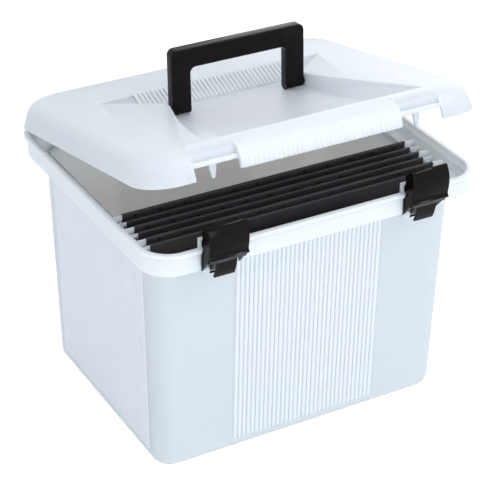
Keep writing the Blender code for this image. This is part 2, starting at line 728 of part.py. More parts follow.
def make_pivot_hole():
    bm = bmesh.new()
    sides = 4 * ARC_STEPS
    hole = arc((HANDLE_Y, handle_z()), HANDLE_PIN_R + HANDLE_PIN_CLEAR, 0.0, 360.0, sides)[:-1]
    reach = WELL_WAIST_HALF + 3 * LID_WALL
    add_prism(bm, hole, -reach, reach, "X")
    return make_tool("pivot_hole", bm)


def make_lid(material):
    tools = (
        (make_lid_cavity(), "DIFFERENCE"),
        (make_skirt_notch(), "DIFFERENCE"),
        (make_grip(), "UNION"),
        (make_lips(), "UNION"),
        (make_fins(), "UNION"),
        (make_clips(), "UNION"),
        (make_well("handle_well", 0.0, 0.0), "DIFFERENCE"),
        (make_pivot_hole(), "DIFFERENCE"),
    )
    lid = add_object("lid_shell", lid_outer(), material)
    hinge = Vector((0.0, HINGE_Y, HINGE_Z))
    lid.data.transform(Matrix.Translation(-hinge))
    lid.location = hinge
    for tool, operation in tools:
        boolean(lid, tool, operation)
    for tool in [tool for tool, operation in tools] + [bpy.data.objects["well_shell"]]:
        tool.data.transform(Matrix.Translation(-hinge))
        tool.parent = lid
    lid.rotation_euler = (-math.radians(LID_AJAR_DEG), 0.0, 0.0)
    return lid


def handle_outline():
    """A bail: two legs, a crossbar, rounded outer corners and inner fillets."""
    top = HANDLE_HEIGHT
    foot = -HANDLE_EDGE
    inner = HANDLE_HALF - HANDLE_LEG
    bar = top - HANDLE_BAR
    outer_r, inner_r = HANDLE_OUTER_R, HANDLE_INNER_R
    points = arc((HANDLE_HALF - outer_r, top - outer_r), outer_r, 0.0, 90.0, ARC_STEPS)
    points += arc((-HANDLE_HALF + outer_r, top - outer_r), outer_r, 90.0, 180.0, ARC_STEPS)
    points += [(-HANDLE_HALF, foot), (-inner, foot)]
    points += arc((-inner + inner_r, bar - inner_r), inner_r, 180.0, 90.0, ARC_STEPS)
    points += arc((inner - inner_r, bar - inner_r), inner_r, 90.0, 0.0, ARC_STEPS)
    points += [(inner, foot), (HANDLE_HALF, foot)]
    return points


def make_knuckles():
    """The legs end in round knuckles, so that they clear the floor of the well as they swing."""
    bm = bmesh.new()
    round_end = arc((0.0, 0.0), HANDLE_THICK / 2 - KNUCKLE_INSET, 0.0, 360.0, 4 * ARC_STEPS)[:-1]
    for side in (-1, 1):
        inner = side * (HANDLE_HALF - HANDLE_LEG + KNUCKLE_INSET)
        outer = side * (HANDLE_HALF - KNUCKLE_INSET)
        add_prism(bm, round_end, min(inner, outer), max(inner, outer), "X")
    return make_tool("handle_knuckles", bm)


def make_handle_pins():
    bm = bmesh.new()
    end = arc((0.0, 0.0), HANDLE_PIN_R, 0.0, 360.0, 4 * ARC_STEPS)[:-1]
    for side in (-1, 1):
        inner = side * (HANDLE_HALF - HANDLE_LEG / 2)
        outer = side * (HANDLE_HALF + HANDLE_PIN_LONG)
        add_prism(bm, end, min(inner, outer), max(inner, outer), "X")
    return make_tool("handle_pins", bm)


def make_handle(material, lid):
    bm = bmesh.new()
    add_prism(bm, handle_outline(), -HANDLE_THICK / 2, HANDLE_THICK / 2, "Y")
    handle = add_object("handle", bm, material)
    bevel = handle.modifiers.new("soft_edges", "BEVEL")
    bevel.width = HANDLE_EDGE
    bevel.segments = HANDLE_EDGE_STEPS
    bevel.limit_method = "ANGLE"
    bevel.angle_limit = math.radians(HANDLE_EDGE_ANGLE_DEG)
    for tool in (make_knuckles(), make_handle_pins()):
        boolean(handle, tool, "UNION")
        tool.parent = handle
    handle.parent = lid
    handle.location = (0.0, HANDLE_Y - HINGE_Y, handle_z() - HINGE_Z)
    handle.rotation_euler = (math.radians(HANDLE_LEAN_DEG), 0.0, 0.0)
    return handle


def latch_points(shares):
    return [(-LATCH_DEEP * out, LATCH_HIGH * up) for out, up in shares]


def latch_sheet(shares, thickness, half):
    """A strip of the latch of even thickness, across its width."""
    bm = bmesh.new()
    add_prism(bm, band(latch_points(shares), thickness), -half, half, "X")
    return bm


def latch_cheeks():
    bm = bmesh.new()
    for side in (-1, 1):
        inner = side * (LATCH_HALF - LATCH_CHEEK)
        outer = side * LATCH_HALF
        add_prism(bm, latch_points(CHEEK_SHARES), min(inner, outer), max(inner, outer), "X")
    return bm


def latch_barrel():
    """A C of plastic that snaps round the moulded pin under the rim."""
    bm = bmesh.new()
    radius = LATCH_PIN_R + LATCH_PIN_CLEAR + LATCH_BARREL_WALL / 2
    wrap = arc((0.0, 0.0), radius, LATCH_BARREL_START_DEG, LATCH_BARREL_END_DEG, 3 * ARC_STEPS)
    reach = LATCH_TONGUE_HALF - LATCH_SIDE_INSET
    add_prism(bm, band(wrap, LATCH_BARREL_WALL), -reach, reach, "X")
    return bm


def latch_bore():
    bm = bmesh.new()
    hole = arc((0.0, 0.0), LATCH_PIN_R + LATCH_PIN_CLEAR, 0.0, 360.0, 3 * ARC_STEPS)[:-1]
    reach = LATCH_TONGUE_HALF + OVERRUN
    add_prism(bm, hole, -reach, reach, "X")
    return bm


def make_latch(name, centre, material):
    """A moulded clip: curved skin, two cheeks, a hooked web, a thumb tab and a barrel on its pin."""
    skin = latch_sheet(SKIN_SHARES, LATCH_SKIN, LATCH_HALF - LATCH_SIDE_INSET)
    latch = add_object(name, skin, material)
    inner = LATCH_HALF - LATCH_CHEEK / 2
    steps = (
        ("cheeks", latch_cheeks(), "UNION"),
        ("web", latch_sheet(WEB_SHARES, LATCH_SKIN, inner), "UNION"),
        ("tongue", latch_sheet(TONGUE_SHARES[:2], LATCH_SKIN, inner), "UNION"),
        ("middle", latch_sheet(TONGUE_SHARES[1:], LATCH_SKIN, LATCH_TONGUE_HALF), "UNION"),
        ("tab", latch_sheet(TAB_SHARES, LATCH_TAB_THICK, LATCH_TAB_HALF), "UNION"),
        ("barrel", latch_barrel(), "UNION"),
        ("bore", latch_bore(), "DIFFERENCE"),
    )
    for label, bm, operation in steps:
        tool = make_tool(name + "_" + label, bm)
        boolean(latch, tool, operation)
        tool.parent = latch
    latch.location = (centre, LATCH_PIN_Y, LATCH_PIN_Z)
    return latch


def hem_path(y, top, side):
    """Card that comes up, folds over the rod and ends as a short flap on the outside."""
    gap = (ROD_THICK + 2 * ROD_CLEAR + FOLDER_CARD) / 2
    foot = top - FOLDER_HEM_DROP
    upper = top - FOLDER_CARD / 2
    return [(y + side * gap, foot), (y + side * gap, upper), (y - side * gap, upper)]


def folder_path(front_y, rear_y):
    gap = (ROD_THICK + 2 * ROD_CLEAR + FOLDER_CARD) / 2
    middle = (front_y + rear_y) / 2
    foot = [(middle - FOLDER_FOOT_GAP / 2, FOLDER_FOOT_Z), (middle + FOLDER_FOOT_GAP / 2, FOLDER_FOOT_Z)]
    front = hem_path(front_y, FOLDER_FRONT_TOP_Z, -1)
    rear = hem_path(rear_y, FOLDER_REAR_TOP_Z, 1)
    inner_front = [(front_y + gap, FOLDER_FRONT_TOP_Z - FOLDER_HEM_DROP)]
    inner_rear = [(rear_y - gap, FOLDER_REAR_TOP_Z - FOLDER_HEM_DROP)]
    return front + inner_front + foot + inner_rear + rear[::-1]


def make_slots(name, rear_y):
    """A row of tab slots through the front layer of the rear hem, below the rod's fold."""
    bm = bmesh.new()
    top = FOLDER_REAR_TOP_Z - SLOT_DOWN
    near = rear_y - ROD_THICK / 2 - ROD_CLEAR / 2
    for index in range(SLOT_COUNT):
        x = lerp(-FOLDER_HALF, FOLDER_HALF, (index + 0.5) / SLOT_COUNT)
        low = (x - SLOT_WIDE / 2, near - FOLDER_CARD - ROD_CLEAR, top - SLOT_HIGH)
        add_block(bm, low, (x + SLOT_WIDE / 2, near, top))
    return make_tool(name + "_slots", bm)


def make_folder_sheet(name, front_y, rear_y, material):
    bm = bmesh.new()
    add_prism(bm, band(folder_path(front_y, rear_y), FOLDER_CARD), -FOLDER_HALF, FOLDER_HALF, "X")
    hem_foot = FOLDER_FRONT_TOP_Z - FOLDER_HEM_DROP
    for vert in bm.verts:
        if vert.co.z < hem_foot - FOLDER_TAPER_DROP:
            vert.co.x = math.copysign(FOLDER_FOOT_HALF, vert.co.x)
    sheet = add_object(name, bm, material)
    boolean(sheet, make_slots(name, rear_y), "DIFFERENCE")
    return sheet


def make_rod(name, y, flap_top, material):
    """A flat rod with a hook at each end that rides on the tub's rail."""
    top = flap_top - FOLDER_CARD - ROD_CLEAR
    seat = RAIL_TOP_Z + ROD_SEAT_GAP
    foot = top - ROD_HIGH
    tip = ROD_HALF - ROD_TIP_LONG
    inner = MOUTH_HALF_X - RAIL_THICK - ROD_TIP_DROP
    half = [(inner, foot), (inner, seat), (tip, seat), (tip, seat - ROD_TIP_DROP),
            (ROD_HALF, seat - ROD_TIP_DROP), (ROD_HALF, top - ROD_TIP_DROP),
            (ROD_HALF - ROD_TIP_DROP, top)]
    outline = half + [(-x, z) for x, z in half[::-1]]
    bm = bmesh.new()
    add_prism(bm, outline, y - ROD_THICK / 2, y + ROD_THICK / 2, "Y")
    return add_object(name, bm, material)


def make_folders(card, coating):
    for name, front_share, rear_share in zip(FOLDER_NAMES, FOLDER_FRONT_SHARES, FOLDER_REAR_SHARES):
        front_y = MOUTH_HALF_Y * front_share
        rear_y = MOUTH_HALF_Y * rear_share
        make_folder_sheet(name + "_card", front_y, rear_y, card)
        make_rod(name + "_front_rod", front_y, FOLDER_FRONT_TOP_Z, coating)
        make_rod(name + "_rear_rod", rear_y, FOLDER_REAR_TOP_Z, coating)


def main():
    clear_scene()
    make_tub(make_material("tub_polypropylene", TUB_COLOUR, TUB_ROUGHNESS))
    lid = make_lid(make_material("lid_polypropylene", LID_COLOUR, LID_ROUGHNESS))
    black = make_material("black_plastic", BLACK_COLOUR, BLACK_ROUGHNESS)
    make_handle(black, lid)
    make_latch("latch_left", -LATCH_X, black)
    make_latch("latch_right", LATCH_X, black)
    card = make_material("black_card", CARD_COLOUR, CARD_ROUGHNESS)
    coating = make_material("coated_steel", ROD_COLOUR, ROD_ROUGHNESS)
    make_folders(card, coating)
    bpy.context.view_layer.update()


main()
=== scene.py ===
"""Looks of a portable file box: frosted tub and lid, black handle and latches, hanging folders.

Metres. +X along the width, +Y towards the hinge, +Z up, origin in the middle of the base.
"""
import math

import bmesh
import bpy
from mathutils import Matrix, Vector


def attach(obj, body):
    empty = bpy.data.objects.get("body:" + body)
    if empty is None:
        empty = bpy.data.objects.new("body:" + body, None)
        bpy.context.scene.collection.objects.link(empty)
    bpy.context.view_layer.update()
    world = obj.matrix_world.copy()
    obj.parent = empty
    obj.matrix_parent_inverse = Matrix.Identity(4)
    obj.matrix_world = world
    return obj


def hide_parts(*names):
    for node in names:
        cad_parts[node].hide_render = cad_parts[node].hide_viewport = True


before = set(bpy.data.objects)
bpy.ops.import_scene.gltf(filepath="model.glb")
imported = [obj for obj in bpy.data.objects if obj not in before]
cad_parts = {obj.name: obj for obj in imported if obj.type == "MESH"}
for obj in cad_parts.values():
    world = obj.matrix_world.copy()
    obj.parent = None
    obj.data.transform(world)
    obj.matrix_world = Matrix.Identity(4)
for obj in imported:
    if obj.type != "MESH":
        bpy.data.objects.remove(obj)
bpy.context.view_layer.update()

PHOTO_WIDTH = 500
SENSOR_MM = 36.0
FOCAL_PX = 1794.4
CAMERA_YAW = -29.80
CAMERA_PITCH = 30.52
CAMERA_ROLL = 0.73
CAMERA_PLACE = (-0.7348, -1.2948, 1.0142)
CAMERA_NEAR = 0.05
CAMERA_FAR = 20.0

# Studio
SOFT_LIGHT = (0.93, 0.96, 1.0, 1.0)
SOFT_LIGHT_LEVEL = 0.92
WHITE = (1.0, 1.0, 1.0, 1.0)
FLOOR_REACH = 6.0
FLOOR_DOWN = 0.0004
FLOOR_COLOUR = (0.86, 0.86, 0.86, 1.0)
FLOOR_LIFT = 0.42
# name, place, the point it faces, size, watts, colour
LAMPS = (
    ("front_softbox", (-0.3, -2.0, 0.75), (0.0, 0.0, 0.18), (1.4, 0.9), 9.6, (0.97, 0.985, 1.0)),
    ("top_softbox", (0.2, 0.1, 1.8), (0.0, 0.0, 0.2), (1.6, 1.6), 0.6, (0.98, 0.99, 1.0)),
    ("back_softbox", (1.2, 1.2, 0.9), (0.0, 0.0, 0.2), (1.2, 1.2), 5.0, (0.98, 0.99, 1.0)),
    ("edge_strip", (0.94, -1.12, 1.73), (0.0, -0.15, 0.26), (0.6, 0.05), 4.5, (1.0, 1.0, 1.0)),
)

# Frosted plastics: name, darker and lighter colour, share of the light that passes into the wall
TUB_PLASTIC = ("tub_frosted_plastic", (0.84, 0.93, 0.985, 1.0), (0.89, 0.955, 0.99, 1.0), 0.62)
# the lid's copy is darker and greyer than the tub's: painted shade that keeps its lamp-lit top from
# rendering near white
LID_PLASTIC = ("lid_frosted_plastic_painted_shade", (0.79, 0.85, 0.91, 1.0), (0.84, 0.885, 0.93, 1.0), 0.8)
RIB_PLASTIC = ("rib_frosted_plastic", (0.82, 0.87, 0.925, 1.0), (0.87, 0.91, 0.955, 1.0), 0.12)
LID_RIB_PLASTIC = ("lid_rib_plastic", (0.80, 0.84, 0.88, 1.0), (0.86, 0.89, 0.92, 1.0), 0.12)
# how far red, green and blue light runs inside them
FROST_RADIUS = (0.0165, 0.0145, 0.0125)
FROST_ROUGHNESS = 0.34
EVEN = (1.0, 1.0, 1.0)
NOISE_DETAIL = 5.0
GRAIN_DEPTH = 0.0002

# Steps of the curves and small features of the looks
SHADE_DEG = 35.0
RIB_SHADE_DEG = 50.0
EDGE_ANGLE_DEG = 40.0
EDGE_ROUND = 0.0008
ROUND_CUT = 0.3
FACE_LAP = 0.0001
CORNER_STEPS = 14
EDGE_STEPS = 8
ROUND_STEPS = 24
PIN_STEPS = 24
PIVOT_HOLE_STEPS = 32
FOLD_STEPS = 8
LID_CURVE_PARTS = 5
WELL_STEPS = 24
WELL_LEVELS = 6
WELL_ROUND = 0.0016
WELL_ROUND_STEPS = 4
RIB_BASE = 0.0038
RIB_ROOT = 0.0006
RIB_CROWN = 6
RIB_CROWN_POWER = 0.7
RIB_END_SHARE = 0.1
WELL_RIB_PITCH = 0.0044
WELL_RIB_WIDE = 0.0036
WELL_RIB_PROUD = 0.0009
WELL_RIB_HALF = 0.0800
WELL_RIB_START_SHARE = 0.08
WELL_RIB_CREST_SHARE = 0.90
WELL_RIB_REACH = 0.0110
HATCH_PITCH = 0.0031
HATCH_WIDE = 0.0021
HATCH_PROUD = 0.00032
HATCH_HALF = 0.0640
HATCH_FRONT_GAP = 0.0300
HATCH_REAR_GAP = 0.0040
LATCH_CURVE_PARTS = 4
LATCH_EDGE = 0.0005
LATCH_EDGE_STEPS = 3
LATCH_EDGE_ANGLE_DEG = 50.0

# Tub
BASE_HALF_X = 0.1505
BASE_HALF_Y = 0.11675
WALL_LEAN = 0.0045
MOUTH_HALF_X = BASE_HALF_X + WALL_LEAN
MOUTH_HALF_Y = BASE_HALF_Y + WALL_LEAN
TUB_CORNER = 0.018
TUB_WALL = 0.0022
FLOOR_THICK = 0.0025
BASE_EDGE = 0.007
SHELF_Z = 0.2212
SHELF_THICK = 0.0022
SHELF_WIDE_X = 0.0104
SHELF_WIDE_Y = 0.01875
RAIL_RISE = 0.0031
RAIL_THICK = 0.0030
RAIL_TOP_Z = SHELF_Z + SHELF_THICK + RAIL_RISE
OVERRUN = 0.004
MITRE_LIMIT_SHARE = 0.5

# Rim round the mouth of the tub
RIM_INNER_HALF_X = MOUTH_HALF_X + SHELF_WIDE_X
RIM_INNER_HALF_Y = MOUTH_HALF_Y + SHELF_WIDE_Y
RIM_WALL = 0.0030
RIM_HIGH = 0.0218
RIM_TOP_Z = SHELF_Z + RIM_HIGH
RIM_CORNER = 0.026
SEAT_DOWN = 0.0073
SEAT_Z = RIM_TOP_Z - SEAT_DOWN
SEAT_LEDGE = 0.0024
BEAD_OUT = 0.0031
BEAD_HIGH = 0.0036
BEAD_LEAD = 0.0020
# share of the bead's stand, share of its lead below it
BEAD_SHARES = ((0.25, 0.6), (0.85, 0.0))

# Lid, measured closed: it stands on the rim, nearly flush with the bead
LID_SEAT_GAP = 0.0003
LID_SET_BACK = 0.0007
LID_BASE_Z = RIM_TOP_Z + LID_SEAT_GAP
LID_HEIGHT = 0.0255
LID_TOP_Z = LID_BASE_Z + LID_HEIGHT
LID_HALF_X = RIM_INNER_HALF_X + RIM_WALL + BEAD_OUT - LID_SET_BACK
LID_HALF_Y = RIM_INNER_HALF_Y + RIM_WALL + BEAD_OUT - LID_SET_BACK
LID_CORNER = RIM_CORNER + RIM_WALL + BEAD_OUT - LID_SET_BACK
LID_WALL = 0.0024
LID_AJAR_DEG = 12.0
LID_FRONT_SLOPE = 0.0230
LID_SIDE_SLOPE = 0.0180
LID_REAR_SLOPE = 0.0180
LID_CORNER_LOSS = 0.0060
# height, share of the slope used up, share of the corner loss
LID_LEVEL_SHARES = ((0.0, 0.0, 0.0), (0.42, 0.16, 0.0), (0.72, 0.34, 0.2), (0.90, 0.62, 0.6),
                    (1.0, 1.0, 1.0))

# Handle
HANDLE_HALF = 0.0690
HANDLE_HEIGHT = 0.0585
HANDLE_THICK = 0.0110
HANDLE_LEG = 0.0190
HANDLE_BAR = 0.0190
HANDLE_EDGE = 0.0013
HANDLE_EDGE_STEPS = 4
HANDLE_CORNER_STEPS = 10
HANDLE_OUTER_R = 0.0060
HANDLE_INNER_R = 0.0055
HANDLE_LEAN_DEG = 9.0
HANDLE_Y = 0.0085
HANDLE_FLOOR_GAP = 0.0005
HANDLE_PIN_R = 0.0030
HANDLE_PIN_LONG = 0.0042
HANDLE_PIN_CLEAR = 0.0003
KNUCKLE_INSET = 0.0002

# Handle well in the lid
WELL_DEPTH = 0.0130
WELL_SIDE_GAP = 0.0010
WELL_FRONT_LAND = 0.0040
WELL_REAR_LAND = 0.0674
WELL_FRONT_RUN = 0.0030
WELL_REAR_RUN = 0.0220
WELL_FRONT_Y = LID_FRONT_SLOPE + WELL_FRONT_LAND - LID_HALF_Y
WELL_REAR_Y = LID_HALF_Y - LID_REAR_SLOPE - WELL_REAR_LAND
WELL_END_LAND = 0.0328
WELL_END_RUN = 0.0300
WELL_END_HALF = LID_HALF_X - LID_SIDE_SLOPE - WELL_END_LAND
WELL_FLOOR_END_HALF = WELL_END_HALF - WELL_END_RUN
WELL_WAIST_HALF = HANDLE_HALF + WELL_SIDE_GAP
WELL_DRAFT = 0.0006
WELL_FLARE_POWER = 1.15
WELL_END_POWER = 4

# Latches
LATCH_PLACE_SHARE = 0.62
LATCH_X = LATCH_PLACE_SHARE * RIM_INNER_HALF_X
LATCH_HALF = 0.01925
STATION_SINK = 0.0037
STATION_FACE = RIM_INNER_HALF_Y + RIM_WALL - STATION_SINK
STATION_THICK = 0.0032
STATION_RISE = 0.0070
STATION_TOP_Z = RIM_TOP_Z + STATION_RISE
STATION_GAP = 0.0015
STATION_NIB = 0.0032
NIB_DOWN = 0.0018
NIB_Z = RIM_TOP_Z - NIB_DOWN
LATCH_PIN_OUT = 0.0002
LATCH_PIN_DOWN = 0.0036
LATCH_PIN_Y = -STATION_FACE - LATCH_PIN_OUT
LATCH_PIN_Z = SHELF_Z - LATCH_PIN_DOWN
LATCH_PIN_R = 0.0017
LATCH_PIN_CLEAR = 0.0003
LATCH_BARREL_WALL = 0.0014
LATCH_BARREL_START_DEG = 150.0
LATCH_BARREL_END_DEG = -130.0
LATCH_HIGH = 0.0498
LATCH_DEEP = 0.0191
LATCH_SKIN = 0.0024
LATCH_CHEEK = 0.0024
LATCH_SIDE_INSET = 0.0002
LATCH_TONGUE_HALF = 0.0110
LATCH_TAB_HALF = 0.0100
LATCH_TAB_THICK = 0.0020
LUG_THICK = 0.0030
LUG_GAP = 0.0006
LUG_R = 0.0032
# outward and upward shares of the latch's depth and height, from its pin
HOOK_UP_SHARE = 0.828
SKIN_SHARES = ((0.555, 0.985), (0.665, 0.942), (0.800, 0.840), (0.855, 0.720), (0.858, 0.600),
               (0.805, 0.462), (0.835, 0.405), (0.925, 0.368))
TONGUE_SHARES = ((0.840, 0.385), (0.640, 0.275), (0.190, 0.105), (0.120, 0.040))
WEB_SHARES = ((0.800, 0.835), (0.330, HOOK_UP_SHARE), (0.115, HOOK_UP_SHARE))
TAB_SHARES = ((0.640, 0.275), (0.560, 0.140), (0.470, 0.020), (0.360, -0.080))
CHEEK_SHARES = ((0.555, 0.975), (0.640, 0.930), (0.790, 0.820), (0.840, 0.720), (0.840, 0.600),
                (0.790, 0.462), (0.790, 0.370), (0.640, 0.290), (0.230, 0.100), (0.080, 0.030),
                (0.100, 0.062), (0.128, 0.100), (0.131, 0.410), (0.330, 0.497), (0.131, 0.540),
                (0.131, 0.640), (0.215, 0.690), (0.215, 0.800), (0.140, 0.830))

# Ribbed grip, latch lips and their webs along the lid's front
GRIP_END_GAP = 0.0004
GRIP_PROUD = 0.0045
GRIP_RIB_COUNT = 33
GRIP_RIB_PROUD = 0.0009
GRIP_RIB_PITCH = 0.0047
GRIP_RIB_STEPS = 8
GRIP_LIFT = 0.0020
# drop below the lid's top, swell in front of its face, depth of the ribs
BROW_SHARES = ((0.07, 0.05, 0.0), (0.12, 0.55, 0.3), (0.25, 1.0, 0.8), (0.45, 0.88, 1.0),
               (0.70, 0.60, 1.0), (1.0, 0.10, 0.8))
BROW_BACK_SHARES = (1.0, 0.7, 0.45, 0.25, 0.12)
BROW_CURVE_PARTS = 3
NOTCH_GAP = 0.0015
NOTCH_DEEP = 0.0093
NOTCH_ROOF = 0.0043
LIP_THICK = 0.0024
LIP_SET_BACK = 0.0031
LIP_CATCH = 0.0040
LIP_CATCH_OUT = 0.0009
LIP_BEND = 0.0018
CATCH_CLEAR = 0.0004
FIN_THICK = 0.0024
FIN_TOP_HALF = 0.0045
FIN_TIP_HALF = 0.0012
FIN_DROP = 0.0140

# Rear hinge
HINGE_OUT = 0.0085
HINGE_DOWN = 0.0012
HINGE_Y = RIM_INNER_HALF_Y + RIM_WALL + HINGE_OUT
HINGE_Z = RIM_TOP_Z - HINGE_DOWN
HINGE_PIN_R = 0.0020
HINGE_CLEAR = 0.0003
HINGE_CLIP_THICK = 0.0018
HINGE_CLIP_ROOT = 0.0038
HINGE_X = 0.0950
HINGE_CLIP_HALF = 0.0120
HINGE_EAR_GAP = 0.0006
HINGE_EAR_THICK = 0.0030
HINGE_EAR_R = 0.0042
HINGE_EAR_START_DEG = -50.0
HINGE_EAR_END_DEG = 110.0
CLIP_START_DEG = 90.0
CLIP_SWEEP_DEG = 220.0

# Upright ribs on the tub walls
RIB_PITCH = 0.0046
RIB_PROUD = 0.0009
RIB_END_GAP = 0.0025
RIB_LATCH_MARGIN = 0.0088
RIB_CORNER_MARGIN = 0.0067
FRONT_RIB_HALF = LATCH_X - LATCH_HALF - RIB_LATCH_MARGIN
SIDE_RIB_HALF = BASE_HALF_Y - TUB_CORNER - RIB_CORNER_MARGIN

# Hanging folders
FOLDER_SIDE_GAP = 0.00275
FOLDER_FOOT_GAP_X = 0.0018
FOLDER_HALF = MOUTH_HALF_X - RAIL_THICK - FOLDER_SIDE_GAP
FOLDER_FOOT_HALF = BASE_HALF_X - TUB_WALL - FOLDER_FOOT_GAP_X
FOLDER_CARD = 0.0006
FOLDER_FOOT_LIFT = 0.0070
FOLDER_FOOT_Z = FLOOR_THICK + FOLDER_FOOT_LIFT
FOLDER_FRONT_RISE = 0.0051
FOLDER_REAR_RISE = 0.0077
FOLDER_FRONT_TOP_Z = RAIL_TOP_Z + FOLDER_FRONT_RISE
FOLDER_REAR_TOP_Z = RAIL_TOP_Z + FOLDER_REAR_RISE
FOLDER_HEM_DROP = 0.0130
FOLDER_TAPER_DROP = 0.0060
FOLDER_FOOT_GAP = 0.0030
# places along the mouth's half depth
FOLDER_FRONT_SHARES = (-0.437, -0.622, -0.8165)
FOLDER_REAR_SHARES = (-0.363, -0.561, -0.753)
FOLDER_NAMES = ("folder_a", "folder_b", "folder_c")
SLOT_COUNT = 12
SLOT_WIDE = 0.0022
SLOT_HIGH = 0.0036
SLOT_DOWN = 0.0026
ROD_THICK = 0.0012
ROD_EDGE = ROD_THICK / 4
ROD_EDGE_STEPS = 2
ROD_CLEAR = 0.0003
ROD_HIGH = 0.0080
ROD_END_GAP = 0.0010
ROD_HALF = RIM_INNER_HALF_X - SEAT_LEDGE - ROD_END_GAP
ROD_TIP_DROP = 0.0023
ROD_TIP_LONG = 0.0042
ROD_SEAT_GAP = 0.0003


def lerp(low, high, share):
    return low + (high - low) * share


def ring(half_x, front, rear, radius, z, steps=CORNER_STEPS):
    corners = (
        (half_x - radius, rear - radius, 0.0),
        (-half_x + radius, rear - radius, 90.0),
        (-half_x + radius, front + radius, 180.0),
        (half_x - radius, front + radius, 270.0),
    )
    points = []
    for x, y, start in corners:
        for step in range(steps + 1):
            angle = math.radians(start + 90.0 * step / steps)
            points.append(Vector((x + radius * math.cos(angle), y + radius * math.sin(angle), z)))
    return points


def even_ring(half_x, half_y, radius, z):
    return ring(half_x, -half_y, half_y, radius, z)


def loft(rings):
    bm = bmesh.new()
    levels = [[bm.verts.new(point) for point in level] for level in rings]
    count = len(levels[0])
    for lower, upper in zip(levels, levels[1:]):
        for index in range(count):
            after = (index + 1) % count
            bm.faces.new((lower[index], lower[after], upper[after], upper[index]))
    bm.faces.new(levels[0])
    bm.faces.new(levels[-1])
    return bm


def add_prism(bm, outline, low, high, axis):
    def place(point, along):
        if axis == "X":
            return Vector((along, point[0], point[1]))
        return Vector((point[0], along, point[1]))
    near = [bm.verts.new(place(point, low)) for point in outline]
    far = [bm.verts.new(place(point, high)) for point in outline]
    count = len(outline)
    for index in range(count):
        after = (index + 1) % count
        bm.faces.new((near[index], near[after], far[after], far[index]))
    bm.faces.new(near)
    bm.faces.new(far)


def add_across(bm, outline, start, end):
    add_prism(bm, outline, min(start, end), max(start, end), "X")


def prism(outline, low, high, axis="X"):
    bm = bmesh.new()
    add_prism(bm, outline, low, high, axis)
    return bm


def both_sides(outline, near, far):
    """Two equal prisms along X, one each side of the middle."""
    bm = bmesh.new()
    for side in (-1, 1):
        add_across(bm, outline, side * near, side * far)
    return bm


def add_block(bm, low, high):
    outline = ((low[1], low[2]), (high[1], low[2]), (high[1], high[2]), (low[1], high[2]))
    add_prism(bm, outline, low[0], high[0], "X")


def arc(centre, radius, start, end, steps):
    points = []
    for step in range(steps + 1):
        angle = math.radians(start + (end - start) * step / steps)
        points.append((centre[0] + radius * math.cos(angle), centre[1] + radius * math.sin(angle)))
    return points


def circle(centre, radius, steps):
    return arc(centre, radius, 0.0, 360.0, steps)[:-1]


def smooth_path(points, parts):
    """A soft curve through the points, so a short list gives a flowing outline."""
    nodes = [Vector(point) for point in points]
    ends = [nodes[0] * 2 - nodes[1]] + nodes + [nodes[-1] * 2 - nodes[-2]]
    path = []
    for index in range(1, len(ends) - 2):
        before, start, end, after = ends[index - 1:index + 3]
        for part in range(parts):
            t = part / parts
            once = end - before
            twice = 2 * before - 5 * start + 4 * end - after
            thrice = 3 * start - before - 3 * end + after
            path.append(0.5 * (2 * start + once * t + twice * t * t + thrice * t * t * t))
    return path + [nodes[-1]]


def band(path, thickness):
    points = [Vector(point) for point in path]
    left, right = [], []
    for index, point in enumerate(points):
        before = points[max(index - 1, 0)]
        after = points[min(index + 1, len(points) - 1)]
        into = (point - before) if index else (after - point)
        out = (after - point) if index < len(points) - 1 else into
        into, out = into.normalized(), out.normalized()
        across = (into + out).normalized()
        normal = Vector((-across.y, across.x))
        reach = thickness / 2 / max(across.dot(into), MITRE_LIMIT_SHARE)
        left.append(point + normal * reach)
        right.append(point - normal * reach)
    return left + right[::-1]


def new_object(name, bm, material=None):
    bmesh.ops.recalc_face_normals(bm, faces=bm.faces[:])
    mesh = bpy.data.meshes.new(name)
    bm.to_mesh(mesh)
    bm.free()
    obj = bpy.data.objects.new(name, mesh)
    bpy.context.scene.collection.objects.link(obj)
    if material:
        mesh.materials.append(material)
    return obj


def as_tool(obj):
    """The object's mesh as a tool for combine, with the object itself dropped."""
    bm = bmesh.new()
    bm.from_mesh(obj.data)
    bpy.data.objects.remove(obj, do_unlink=True)
    return bm


def bake(obj):
    """Turn what the modifiers make into the object's own plain mesh."""
    bpy.context.view_layer.update()
    graph = bpy.context.evaluated_depsgraph_get()
    mesh = bpy.data.meshes.new_from_object(obj.evaluated_get(graph))
    obj.modifiers.clear()
    obj.data = mesh
    return obj


def combine(obj, steps):
    """Cut and join closed tools into the object one after another, then drop the tools."""
    for operation, bm in steps:
        tool = new_object(obj.name + "_tool", bm)
        step = obj.modifiers.new(operation, "BOOLEAN")
        step.solver = "EXACT"
        step.operation = operation
        step.object = tool
        bake(obj)
        bpy.data.objects.remove(tool, do_unlink=True)
    return obj


def soften(obj, width, segments, angle_deg):
    bevel = obj.modifiers.new("soft_edges", "BEVEL")
    bevel.width = width
    bevel.segments = segments
    bevel.limit_method = "ANGLE"
    bevel.angle_limit = math.radians(angle_deg)
    bevel.use_clamp_overlap = True
    bake(obj)


def shade(obj, angle_deg=SHADE_DEG):
    obj.data.shade_smooth()
    obj.data.set_sharp_from_angle(angle=math.radians(angle_deg))


def turn(obj, pivot, degrees):
    """Turn the mesh itself about an axis along X through pivot."""
    centre = Vector(pivot)
    obj.data.transform(Matrix.Translation(centre) @ Matrix.Rotation(math.radians(degrees), 4, "X")
                       @ Matrix.Translation(-centre))


def fit_out(obj, body, slot, *nodes):
    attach(obj, body)
    if nodes:
        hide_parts(*nodes)


def base_material(name, colour, roughness, specular=0.5):
    material = bpy.data.materials.new(name)
    material.use_nodes = True
    shader = material.node_tree.nodes["Principled BSDF"]
    shader.inputs["Base Color"].default_value = colour
    shader.inputs["Roughness"].default_value = roughness
    shader.inputs["Specular IOR Level"].default_value = specular
    return material, shader


